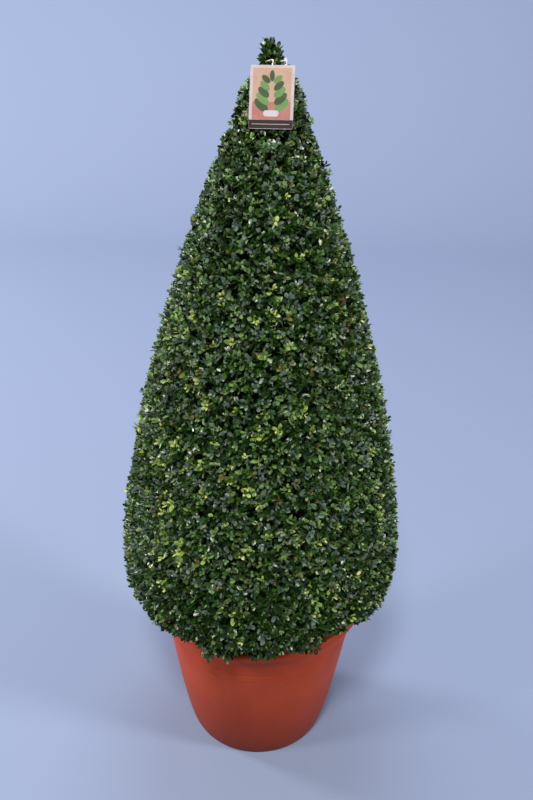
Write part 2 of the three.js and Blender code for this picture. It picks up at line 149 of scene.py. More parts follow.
def fan_faces(centre: int, first: int, sides: int) -> np.ndarray:
    """Three-cornered faces from a centre point to a closed ring of points.

    Args:
        centre: The number of the centre point.
        first: The number of the ring's first point.
        sides: Points in the ring.

    Returns:
        An (n, 3) array of corners, that face the side from which the ring runs anticlockwise.
    """
    side = np.arange(sides)
    return np.stack([np.full(sides, centre), first + side, first + (side + 1) % sides], axis=-1)


def revolve(
    name: str, profile: np.ndarray, sides: int, material: bpy.types.Material
) -> bpy.types.Object:
    """The surface swept round +Z by a profile whose two ends lie on the axis.

    Args:
        name: The piece's name.
        profile: An (n, 2) array of radius and height; its ends become single poles.
        sides: Steps round the axis.
        material: Its material.

    Returns:
        The closed piece.
    """
    middle = profile[1:-1]
    rings = polar(middle[:, :1], round_angles(sides)[None, :], middle[:, 1:])
    poles = np.array([[0.0, 0.0, profile[0, 1]], [0.0, 0.0, profile[-1, 1]]])
    points = np.concatenate([rings.reshape(-1, 3), poles])
    count = len(middle) * sides
    first = fan_faces(count, 0, sides)[:, [0, 2, 1]]
    last = fan_faces(count + 1, count - sides, sides)
    return make_piece(name, points, [grid_faces(len(middle), sides, True), first, last], material)


def tubes(lines: np.ndarray, radii: np.ndarray, sides: int) -> tuple[np.ndarray, np.ndarray]:
    """Limbs with several sides along many lines at once.

    Each limb is a grid of rings, one at each point of its line and square to the line there.

    Args:
        lines: An (n, k, 3) array of n lines of k points.
        radii: An (n, k) array of radii.
        sides: Sides of each ring.

    Returns:
        Points and four-cornered faces.
    """
    count, steps, _ = lines.shape
    run = unit(np.gradient(lines, axis=1))
    across = square_to(crosswise(run[:, :1]) * np.ones((1, steps, 1)), run)
    beside = np.cross(run, across)
    angle = round_angles(sides)[:, None]
    spoke = across[:, :, None] * np.cos(angle) + beside[:, :, None] * np.sin(angle)
    points = lines[:, :, None] + spoke * radii[:, :, None, None]
    offset = np.arange(count) * steps * sides
    faces = grid_faces(steps, sides, True)[None] + offset[:, None, None]
    return points.reshape(-1, 3), faces.reshape(-1, 4)


def smooth_line(knots: np.ndarray, steps: int) -> np.ndarray:
    """A Catmull-Rom line: between two knots, a cubic whose slopes follow their neighbours.

    Args:
        knots: An (n, 3) array of points that it passes through.
        steps: Points between each two knots.

    Returns:
        The line's points.
    """
    padded = np.concatenate([2 * knots[:1] - knots[1:2], knots, 2 * knots[-1:] - knots[-2:-1]])
    share = np.linspace(0.0, 1.0, steps, endpoint=False)[None, :, None]
    a, b, c, d = (padded[i : len(padded) - 3 + i, None] for i in range(4))
    line = 0.5 * (
        2 * b
        + (c - a) * share
        + (2 * a - 5 * b + 4 * c - d) * share**2
        + (3 * b - a - 3 * c + d) * share**3
    )
    return np.concatenate([line.reshape(-1, 3), knots[-1:]])


class Waves:
    """A smooth field over space: a sum of cosines of random direction and phase, about -1 to 1."""

    length_range = (0.6, 1.7)
    peak = 2.2  # of a sum of cosines with a mean square of one

    def __init__(self, seed: int, length: float, count: int = 9) -> None:
        """Draws the waves.

        Args:
            seed: Seed of their directions, lengths and phases.
            length: Their mean length in metres.
            count: How many are summed.
        """
        source = np.random.default_rng(seed)
        direction = unit(source.normal(size=(count, 3)))
        lengths = length * source.uniform(*self.length_range, (count, 1))
        self.vectors = direction * (FULL_TURN / lengths)
        self.phases = source.uniform(0.0, FULL_TURN, count)

    def at(self, points: np.ndarray) -> np.ndarray:
        """The field at points."""
        waves = np.cos(points @ self.vectors.T + self.phases)
        return waves.sum(axis=-1) / math.sqrt(0.5 * len(self.phases)) / self.peak


# ------------------------------------------------------------------ finishes


def linear(colour: str) -> tuple[float, float, float, float]:
    """An sRGB hex colour as linear red, green, blue and alpha.

    Args:
        colour: The colour, such as "#a8442a".

    Returns:
        Four shares from 0 to 1.
    """
    shares = [int(colour[i : i + 2], 16) / 255.0 for i in (1, 3, 5)]
    return (*(s / 12.92 if s <= 0.04045 else ((s + 0.055) / 1.055) ** 2.4 for s in shares), 1.0)


def add_node(
    tree: bpy.types.NodeTree, kind: str, settings: dict | None = None, links: dict | None = None
) -> bpy.types.Node:
    """Adds a shader node.

    Args:
        tree: The material's node tree.
        kind: The node's type.
        settings: Values of its own settings (lower case) or of its sockets.
        links: Output sockets to join to its named or numbered input sockets.

    Returns:
        The node.
    """
    node = tree.nodes.new(kind)
    for key, value in (settings or {}).items():
        if isinstance(key, str) and hasattr(node, key):
            setattr(node, key, value)
        else:
            node.inputs[key].default_value = value
    for key, source in (links or {}).items():
        tree.links.new(source, node.inputs[key])
    return node


def new_material(name: str) -> tuple[bpy.types.Material, bpy.types.NodeTree]:
    """An empty node-based material.

    Args:
        name: Its name.

    Returns:
        The material and its tree.
    """
    material = bpy.data.materials.new(name)
    material.use_nodes = True
    material.node_tree.nodes.clear()
    return material, material.node_tree


def close_material(
    material: bpy.types.Material, settings: dict, links: dict | None = None
) -> bpy.types.Material:
    """Gives a material its surface shader.

    Args:
        material: The material.
        settings: The shader's values.
        links: Output sockets to join to the shader's inputs.

    Returns:
        The same material.
    """
    tree = material.node_tree
    shader = add_node(tree, "ShaderNodeBsdfPrincipled", settings, links)
    add_node(tree, "ShaderNodeOutputMaterial", {}, {"Surface": shader.outputs[0]})
    return material


def object_noise(
    tree: bpy.types.NodeTree, size: float, detail: float = 3.0, stretch: tuple = (1.0, 1.0, 1.0)
) -> bpy.types.NodeSocket:
    """Noise in the object's own coordinates.

    Args:
        tree: The material's node tree.
        size: Size of its features in metres.
        detail: Octaves.
        stretch: Scale along each axis; a small one draws the features out along it.

    Returns:
        The noise's share, about 0.3 to 0.7 for the most part.
    """
    place = add_node(tree, "ShaderNodeTexCoord")
    mapping = add_node(tree, "ShaderNodeMapping", {"Scale": stretch}, {0: place.outputs["Object"]})
    settings = {"Scale": 1.0 / size, "Detail": detail, "Roughness": 0.6}
    noise = add_node(tree, "ShaderNodeTexNoise", settings, {"Vector": mapping.outputs[0]})
    return noise.outputs["Fac"]


def mottled(
    tree: bpy.types.NodeTree, noise: bpy.types.NodeSocket, low: str, high: str, span: tuple
) -> bpy.types.NodeSocket:
    """Two colours blended by a noise.

    Args:
        tree: The material's node tree.
        noise: The noise.
        low: Hex colour where the noise is low.
        high: Hex colour where it is high.
        span: The noise's values at which only the low and only the high colour is left.

    Returns:
        The blended colour.
    """
    limits = {"From Min": span[0], "From Max": span[1]}
    share = add_node(tree, "ShaderNodeMapRange", limits, {0: noise})
    colours = {"data_type": "RGBA", 6: linear(low), 7: linear(high)}
    return add_node(tree, "ShaderNodeMix", colours, {0: share.outputs[0]}).outputs[2]


@dataclass(frozen=True)
class MouldedPlastic:
    """Injection-moulded polypropylene, terracotta colour: an even satin skin with a fine grain.

    The eye sees weak, broad mottling and a pale bloom of weather in upright streaks, and a foot
    darkened by painted shade.
    """

    name: str = "moulded_polypropylene"
    body: str = "#a8442a"
    shade: str = "#9e3e25"
    bloom: str = "#aa543c"
    # colour of the painted shade that darkens the foot
    painted_foot_shade: str = "#6d2a1c"
    mottling: float = 60.0 * MM
    mottling_span: tuple = (0.3, 0.7)
    streak: float = 26.0 * MM
    streak_stretch: tuple = (1.0, 1.0, 0.22)
    bloom_span: tuple = (0.56, 0.82)
    bloom_share: float = 0.4
    foot_shade_strength: float = 0.8
    foot_shade_height: float = 0.2
    roughness: tuple = (0.40, 0.56)
    specular: float = 0.08
    grain: float = 0.9 * MM
    grain_depth: float = 0.1 * MM
    grain_strength: float = 0.12

    def make(self) -> bpy.types.Material:
        """Builds the material.

        Returns:
            The material, its patterns in the pot's own coordinates.
        """
        material, tree = new_material(self.name)
        broad = object_noise(tree, self.mottling, 4.0)
        base = mottled(tree, broad, self.shade, self.body, self.mottling_span)
        streak = object_noise(tree, self.streak, 5.0, self.streak_stretch)
        low, high = self.bloom_span
        bloom_limits = {"From Min": low, "From Max": high, "To Max": self.bloom_share}
        bloom = add_node(tree, "ShaderNodeMapRange", bloom_limits, {0: streak})
        bloom_colour = {"data_type": "RGBA", 7: linear(self.bloom)}
        dusted = add_node(tree, "ShaderNodeMix", bloom_colour, {0: bloom.outputs[0], 6: base})
        # painted shade: the colour darkens towards the bottom of the pot, most at the foot
        place = add_node(tree, "ShaderNodeTexCoord")
        axes = add_node(tree, "ShaderNodeSeparateXYZ", {}, {0: place.outputs["Object"]})
        foot_shade_limits = {"From Max": self.foot_shade_height, "To Min": self.foot_shade_strength, "To Max": 0.0}
        painted_foot_shade = add_node(tree, "ShaderNodeMapRange", foot_shade_limits, {0: axes.outputs["Z"]})
        foot_shade_colour = {"data_type": "RGBA", 7: linear(self.painted_foot_shade)}
        foot_shade_links = {0: painted_foot_shade.outputs[0], 6: dusted.outputs[2]}
        foot_shaded = add_node(tree, "ShaderNodeMix", foot_shade_colour, foot_shade_links)
        smoothest, roughest = self.roughness
        rough_limits = {"To Min": smoothest, "To Max": roughest}
        rough = add_node(tree, "ShaderNodeMapRange", rough_limits, {0: streak})
        relief = {"Strength": self.grain_strength, "Distance": self.grain_depth}
        grain = object_noise(tree, self.grain, 2.0)
        bump = add_node(tree, "ShaderNodeBump", relief, {"Height": grain})
        links = {
            "Base Color": foot_shaded.outputs[2],
            "Roughness": rough.outputs[0],
            "Normal": bump.outputs[0],
        }
        return close_material(material, {"Specular IOR Level": self.specular}, links)


@dataclass(frozen=True)
class LeafSkin:
    """A leathery evergreen leaf with a waxy cuticle: one plain colour under a soft gloss."""

    name: str
    colour: str
    roughness: float
    gloss: float

    def make(self) -> bpy.types.Material:
        """Builds the material. The colour is plain, because it is dealt out leaf by leaf.

        Returns:
            The material.
        """
        settings = {
            "Base Color": linear(self.colour),
            "Roughness": self.roughness,
            "Specular IOR Level": self.gloss,
        }
        return close_material(new_material(self.name)[0], settings)


@dataclass(frozen=True)
class Bark:
    """Corky bark: ridges drawn out along the limb, pale on top and dark in the furrows."""

    name: str
    ridge: str
    furrow: str
    width: float
    stretch: tuple = (1.0, 1.0, 0.3)
    span: tuple = (0.38, 0.6)
    depth: float = 0.8 * MM
    relief: float = 0.6
    roughness: float = 0.85

    def make(self) -> bpy.types.Material:
        """Builds the material from noise drawn out along the limb.

        Returns:
            The material.
        """
        material, tree = new_material(self.name)
        noise = object_noise(tree, self.width, 5.0, self.stretch)
        base = mottled(tree, noise, self.furrow, self.ridge, self.span)
        relief = {"Strength": self.relief, "Distance": self.depth}
        bump = add_node(tree, "ShaderNodeBump", relief, {"Height": noise})
        links = {"Base Color": base, "Normal": bump.outputs[0]}
        return close_material(material, {"Roughness": self.roughness}, links)


class BarkKind(Enum):
    """The two ages of bark: pale grey-tan and corky, and green-tan and thin."""

    OLD = Bark("old_box_bark", "#9a8c70", "#54493a", 6.0 * MM)
    YOUNG = Bark("young_box_bark", "#7d7a45", "#4c4a2a", 3.0 * MM)


@dataclass(frozen=True)
class Compost:
    """Peat and bark potting compost: dull dark crumbs with a few white grains of perlite."""

    name: str = "potting_compost"
    dark: str = "#1d130d"
    light: str = "#4a3626"
    span: tuple = (0.35, 0.72)
    crumb: float = 5.0 * MM
    crumb_depth: float = 1.5 * MM
    grain: str = "#b9ae9c"
    grain_spacing: float = 9.0 * MM
    grain_share: float = 0.1
    relief: float = 0.8
    roughness: float = 0.95

    def make(self) -> bpy.types.Material:
        """Builds the material from crumbs of noise and sparse pale cells.

        Returns:
            The material.
        """
        material, tree = new_material(self.name)
        crumbs = object_noise(tree, self.crumb, 6.0)
        base = mottled(tree, crumbs, self.dark, self.light, self.span)
        place = add_node(tree, "ShaderNodeTexCoord")
        spacing = {"Scale": 1.0 / self.grain_spacing}
        cells = add_node(
            tree, "ShaderNodeTexVoronoi", spacing, {"Vector": place.outputs["Object"]}
        )
        near = {"operation": "LESS_THAN", 1: self.grain_share}
        grains = add_node(tree, "ShaderNodeMath", near, {0: cells.outputs["Distance"]})
        grain_colour = {"data_type": "RGBA", 7: linear(self.grain)}
        mixed = add_node(tree, "ShaderNodeMix", grain_colour, {0: grains.outputs[0], 6: base})
        relief = {"Strength": self.relief, "Distance": self.crumb_depth}
        bump = add_node(tree, "ShaderNodeBump", relief, {"Height": crumbs})
        links = {"Base Color": mixed.outputs[2], "Normal": bump.outputs[0]}
        return close_material(material, {"Roughness": self.roughness}, links)


@dataclass(frozen=True)
class PrintedCard:
    """Printed plastic card: a flat ink with the faint mottle of print, under a satin skin."""

    name: str
    ink: str
    second: str
    mottling: float = 14.0 * MM
    span: tuple = (0.35, 0.65)
    roughness: float = 0.35

    def make(self) -> bpy.types.Material:
        """Builds the material: two close inks mixed by a soft noise.

        Returns:
            The material.
        """
        material, tree = new_material(self.name)
        noise = object_noise(tree, self.mottling, 2.0)
        base = mottled(tree, noise, self.ink, self.second, self.span)
        return close_material(material, {"Roughness": self.roughness}, {"Base Color": base})


class Ink(Enum):
    """The label's plastics and printed inks."""

    WHITE = PrintedCard("card_white", "#bcb2b7", "#c3babe")
    PEACH = PrintedCard("ink_peach", "#b89784", "#bd9f8e")
    ROSE = PrintedCard("ink_rose", "#ab6f68", "#ae7a74")
    MAROON = PrintedCard("ink_maroon", "#2a1b1f", "#322225")
    PALE = PrintedCard("ink_pale", "#c2bcc2", "#c9c3c8")
    DARK_GREEN = PrintedCard("ink_dark_green", "#384f31", "#415a38")
    LIGHT_GREEN = PrintedCard("ink_light_green", "#5f874c", "#6b9358")
    STRAP = PrintedCard("strap_white", "#eeeeea", "#f6f6f2")


@dataclass(frozen=True)
class Backdrop:
    """Matt seamless paper of the studio."""

    name: str = "studio_paper"
    colour: str = "#8795b4"
    roughness: float = 0.95
    specular: float = 0.1

    def make(self) -> bpy.types.Material:
        """Builds the plain matt material.

        Returns:
            The material.
        """
        settings = {
            "Base Color": linear(self.colour),
            "Roughness": self.roughness,
            "Specular IOR Level": self.specular,
        }
        return close_material(new_material(self.name)[0], settings)


# ------------------------------------------------------------------ clipped outline


@dataclass(frozen=True)
class ConeOutline:
    """The clipped outline, the same as the source's: a rounded skirt under a bellied cone."""

    bottom: float = 0.358
    waist_height: float = 0.470
    waist_radius: float = 0.270
    apex: float = 1.425
    top: float = 1.390
    shoulder_power: float = 4.0
    taper_power: float = 1.5
    tip_power: float = 0.9
    inner_radius: float = 0.09
    skirt_steps: int = 60
    cone_steps: int = 200

    def profile(self) -> tuple[np.ndarray, np.ndarray]:
        """The outline from under the skirt to the top.

        The skirt is a superellipse; the cone's radius is R (1 - t^a)^b, t being the share of
        the way from the waist to the apex.

        Returns:
            Arrays of radius and height.
        """
        turn = np.linspace(QUARTER_TURN, 0.0, self.skirt_steps)
        power = 2.0 / self.shoulder_power
        skirt_radius = self.waist_radius * np.cos(turn).clip(0.0) ** power
        skirt_height = self.waist_height - (self.waist_height - self.bottom) * np.sin(turn) ** power
        height = np.linspace(self.waist_height, self.top, self.cone_steps)[1:]
        climb = (height - self.waist_height) / (self.apex - self.waist_height)
        radius = self.waist_radius * (1.0 - climb**self.taper_power) ** self.tip_power
        kept = skirt_radius >= self.inner_radius
        return (
            np.concatenate([skirt_radius[kept], radius]),
            np.concatenate([skirt_height[kept], height]),
        )

    def places(self, count: int, crowding: float) -> tuple[np.ndarray, np.ndarray, np.ndarray]:
        """Evenly spread places on the outline, each the golden angle on from the last.

        Args:
            count: How many.
            crowding: Power of the radius by which narrow parts get more of them.

        Returns:
            Their points, outward normals and radii.
        """
        radius, height = self.profile()
        run = np.hypot(np.diff(radius), np.diff(height))
        middle = 0.5 * (radius[1:] + radius[:-1])
        weight = middle ** (1.0 - crowding) * run
        passed = np.concatenate([[0.0], np.cumsum(weight)])
        wanted = (np.arange(count) + 0.5) / count * passed[-1]
        at_radius = np.interp(wanted, passed, radius)
        at_height = np.interp(wanted, passed, height)
        slope_r = np.interp(wanted, passed, np.gradient(radius, passed))
        slope_z = np.interp(wanted, passed, np.gradient(height, passed))
        angle = np.arange(count) * GOLDEN_ANGLE
        points = polar(at_radius, angle, at_height)
        normals = unit(polar(slope_z, angle, -slope_r))
        return points, normals, at_radius


# ------------------------------------------------------------------ leaves


class LeafKind(Enum):
    """The kinds of leaf, each one plain colour and one piece or more."""

    DEEP = LeafSkin("leaf_deep_green", "#315612", 0.36, 1.0)
    DARK = LeafSkin("leaf_dark_green", "#173505", 0.44, 0.35)
    # partly the leaves' own grey-green tone, partly a painted grey-blue sheen of reflected light
    BLUE = LeafSkin("leaf_grey_green_painted_sheen", "#5a7060", 0.36, 1.0)
    MID = LeafSkin("leaf_mid_green", "#6a8d4c", 0.38, 0.9)
    OLIVE = LeafSkin("leaf_olive", "#6c7032", 0.42, 0.6)
    FRESH = LeafSkin("leaf_fresh_green", "#92b04c", 0.4, 0.7)
    YOUNG = LeafSkin("leaf_young_green", "#bccd78", 0.42, 0.6)
    BRONZE = LeafSkin("leaf_bronze", "#66563c", 0.5, 0.3)

    @property
    def number(self) -> int:
        """The kind's place in the list."""
        return list(LeafKind).index(self)


def numbers(*kinds: LeafKind) -> np.ndarray:
    """The places of leaf kinds in their list."""
    return np.array([kind.number for kind in kinds])


@dataclass(frozen=True)
class LeafShape:
    """A box leaf: an oval blade of ten faces, with its edges and its tip turned down.

    Along the blade t runs 0 to 1 and across it w runs -1 to 1. A point is
    root + along t L + across w W / 2 - face (droop |w| W + arch t^2 L).
    """

    stations: tuple = (0.2, 0.54, 0.86)
    widths: tuple = (0.76, 1.0, 0.66)
    ribs: tuple = (0.38, 0.72)
    droop: float = 0.1
    arch: float = 0.12
    left_half: tuple = ((0, 1, 4), (4, 1, 5), (1, 2, 5), (5, 2, 6), (6, 2, 3))
    mirrored: tuple = (0, 1, 2, 3, 7, 8, 9)

    def build(
        self,
        root: np.ndarray,
        along: np.ndarray,
        face: np.ndarray,
        length: np.ndarray,
        width: np.ndarray,
    ) -> tuple[np.ndarray, np.ndarray]:
        """Blades for whole arrays at once.

        Args:
            root: An (n, 3) array of places of the leaves' stalks.
            along: Unit vectors from stalk to tip.
            face: Unit vectors out of the upper side.
            length: Lengths in metres.
            width: Widths in metres.

        Returns:
            Points and triangles.
        """
        side = unit(np.cross(along, face))
        midrib = [(0.0, 0.0), *((t, 0.0) for t in self.ribs), (1.0, 0.0)]
        edges = [(t, way * w) for way in (-1.0, 1.0) for t, w in zip(self.stations, self.widths)]
        t, w = np.array(midrib + edges).T
        rise = -self.droop * np.abs(w) * width[:, None] - self.arch * t**2 * length[:, None]
        points = (
            root[:, None]
            + along[:, None] * (t * length[:, None])[..., None]
            + side[:, None] * (0.5 * w * width[:, None])[..., None]
            + face[:, None] * rise[..., None]
        )
        left = np.array(self.left_half)
        right = np.array(self.mirrored)[left[:, [0, 2, 1]]]
        offset = np.arange(len(root)) * len(t)
        triangles = np.concatenate([left, right])[None] + offset[:, None, None]
        return points.reshape(-1, 3), triangles.reshape(-1, 3)


class LeafStock:
    """Collects leaves of each kind and joins them into pieces."""

    limit = 19000  # leaves in one piece, which keeps it under 200,000 triangles

    def __init__(self, shape: LeafShape) -> None:
        """Starts with no leaves."""
        self.shape = shape
        self.batches: list[tuple[np.ndarray, ...]] = []

    def add(
        self,
        kept: np.ndarray,
        kind: np.ndarray,
        root: np.ndarray,
        along: np.ndarray,
        face: np.ndarray,
        length: np.ndarray,
        width: np.ndarray,
    ) -> None:
        """Adds a batch of leaves.

        Args:
            kept: Whether each leaf is kept.
            kind: The number of each leaf's kind.
            root: Places of their stalks.
            along: Unit vectors from stalk to tip.
            face: Unit vectors out of the upper side.
            length: Lengths in metres.
            width: Widths in metres.
        """
        batch = (kind, root, along, face, length, width)
        self.batches.append(tuple(part[kept] for part in batch))

    def pieces(self) -> list[bpy.types.Object]:
        """Joins the leaves.

        Returns:
            One piece for each kind, or more where a kind has more leaves than a piece may.
        """
        kind, *parts = (np.concatenate(part) for part in zip(*self.batches))
        made = []
        for option in LeafKind:
            chosen = np.flatnonzero(kind == option.number)
            material = option.value.make()
            for part, start in enumerate(range(0, len(chosen), self.limit)):
                rows = chosen[start : start + self.limit]
                points, faces = self.shape.build(*(values[rows] for values in parts))
                name = f"leaves_{option.name.lower()}" + (f"_{part + 1}" if part else "")
                made.append(make_piece(name, points, faces, material))
        return made


@dataclass(frozen=True)
class LeafMix:
    """How the kinds of leaf are dealt out: one to each shoot, then changed down it by age and
    painted shade.
    """

    seed: int = 1504
    kinds: tuple = (LeafKind.DEEP, LeafKind.DARK, LeafKind.BLUE, LeafKind.MID, LeafKind.OLIVE)
    shares: tuple = (0.35, 0.21, 0.26, 0.15, 0.03)
    fresh: float = 0.05
    fresh_in_patches: float = 0.1
    patch_length: float = 0.2
    fresh_to_left: float = 0.03
    left_reach: float = 0.2
    fresh_lost_to_painted_shade: float = 0.05
    fresh_limits: tuple = (0.01, 0.35)
    # where the leaf colours carry painted shade: low down, and most in front
    painted_shade_top: float = 0.58
    painted_shade_depth: float = 0.16
    front_reach: float = 0.22
    painted_shade_at_sides: float = 0.5
    bright_darkened_as_painted_shade: float = 0.97
    deep_darkened_as_painted_shade: float = 0.6
    lighter_tips: float = 0.08
    ripe_node: int = 2
    old_or_shaded_when_ripe: float = 0.5
    old_or_shaded_beyond: float = 0.85
    strays: float = 0.14
    bronze_span: tuple = (0.14, 0.143)
    olive_span: tuple = (0.15, 0.165)

    def shade(self, tips: np.ndarray) -> np.ndarray:
        """How much painted shade the leaf colours carry, 0 to 1: low down only, half as much at the
        sides.

        Args:
            tips: Places of the shoots' tips.

        Returns:
            An array of shares.
        """
        front = np.clip(-tips[:, 1] / self.front_reach, 0.0, 1.0) ** 2
        low = np.clip((self.painted_shade_top - tips[:, 2]) / self.painted_shade_depth, 0.0, 1.0)
        return low * (self.painted_shade_at_sides + (1.0 - self.painted_shade_at_sides) * front)

    def of_shoots(self, source: np.random.Generator, tips: np.ndarray) -> np.ndarray:
        """Deals a kind to each shoot.

        Args:
            source: Draws the kinds.
            tips: Places of the shoots' tips. Fresh shoots stand in patches, more of them to the
                left, partly as painted light, and few low in front, where painted shade turns most
                others dark.

        Returns:
            The number of each shoot's kind.
        """
        count = len(tips)
        patch = Waves(self.seed, self.patch_length).at(tips)
        # more fresh, lighter shoots to the left: partly fresh growth, partly painted light on the
        # side the key light falls from
        fresh_and_painted_light_to_left = self.fresh_to_left * np.clip(-tips[:, 0] / self.left_reach, 0.0, 1.0)
        shade = self.shade(tips)
        share = self.fresh + self.fresh_in_patches * patch + fresh_and_painted_light_to_left
        share = np.clip(share - self.fresh_lost_to_painted_shade * shade, *self.fresh_limits)
        result = source.choice(numbers(*self.kinds), size=count, p=self.shares)
        fresh = source.random(count) < share
        young = numbers(LeafKind.FRESH, LeafKind.YOUNG)
        result[fresh] = source.choice(young, size=int(fresh.sum()))
        # painted shade: low in front, shoots are turned to the dark kind
        dark = np.isin(result, numbers(LeafKind.DEEP, LeafKind.DARK))
        painted_shade_share = np.where(dark, self.deep_darkened_as_painted_shade, self.bright_darkened_as_painted_shade) * shade
        result[source.random(count) < painted_shade_share] = LeafKind.DARK.number
        return result

    def at_node(self, source: np.random.Generator, kinds: np.ndarray, node: int) -> np.ndarray:
        """The kinds of the leaves at one node: further from the tip, older and darker, partly as
        painted shade.

        Args:
            source: Draws the leaves that differ from their shoot.
            kinds: The number of each shoot's kind.
            node: The node, counted from the tip.

        Returns:
            The number of each leaf's kind.
        """
        count = len(kinds)
        result = kinds.copy()
        if node == 0:
            grown = ~np.isin(kinds, numbers(LeafKind.FRESH, LeafKind.YOUNG))
            result[grown & (source.random(count) < self.lighter_tips)] = LeafKind.MID.number
        if node >= self.ripe_node:
            result[kinds == LeafKind.YOUNG.number] = LeafKind.FRESH.number
            result[kinds == LeafKind.FRESH.number] = LeafKind.MID.number
            # partly painted shade: leaves further down the shoot, deeper in the crown, are turned to
            # the dark kind
            share = self.old_or_shaded_when_ripe if node == self.ripe_node else self.old_or_shaded_beyond
            old_or_shaded = source.random(count) < share
            result[old_or_shaded & (result != LeafKind.FRESH.number)] = LeafKind.DARK.number
        stray = source.random(count)
        other = stray < self.strays
        choices = numbers(LeafKind.DEEP, LeafKind.DARK, LeafKind.BLUE, LeafKind.MID)
        result[other] = source.choice(choices, size=int(other.sum()))
        for kind, span in (
            (LeafKind.BRONZE, self.bronze_span),
            (LeafKind.OLIVE, self.olive_span),
        ):
            result[(stray > span[0]) & (stray < span[1])] = kind.number
        return result


# ------------------------------------------------------------------ limbs


def arcs(start: np.ndarray, end: np.ndarray, rise: float, steps: int) -> np.ndarray:
    """Lines that leave steeply and level off: the chord plus a parabola 4 rise s (1 - s).

    Args:
        start: An (n, 3) array of first points.
        end: An (n, 3) array of last points.
        rise: Height of the parabola at the middle.
        steps: Points in each line.

    Returns:
        An (n, steps, 3) array.
    """
    share = np.linspace(0.0, 1.0, steps)[None, :, None]
    bow = UP * 4.0 * rise * share * (1.0 - share)
    return start[:, None] * (1.0 - share) + end[:, None] * share + bow


def nearest(points: np.ndarray, targets: np.ndarray) -> np.ndarray:
    """The number of the target that lies nearest to each point."""
    return ((points[:, None] - targets[None]) ** 2).sum(-1).argmin(axis=1)


def limbs(
    name: str, lines: np.ndarray, radii: np.ndarray, sides: int, bark: BarkKind
) -> bpy.types.Object:
    """One piece of many limbs.

    Args:
        name: The piece's name.
        lines: An (n, k, 3) array of lines.
        radii: Radii that match or spread to (n, k).
        sides: Sides of each limb.
        bark: Its bark.

    Returns:
        The piece.
    """
    points, faces = tubes(lines, np.broadcast_to(radii, lines.shape[:2]), sides)
    return make_piece(name, points, faces, bark.value.make())


# ------------------------------------------------------------------ crown


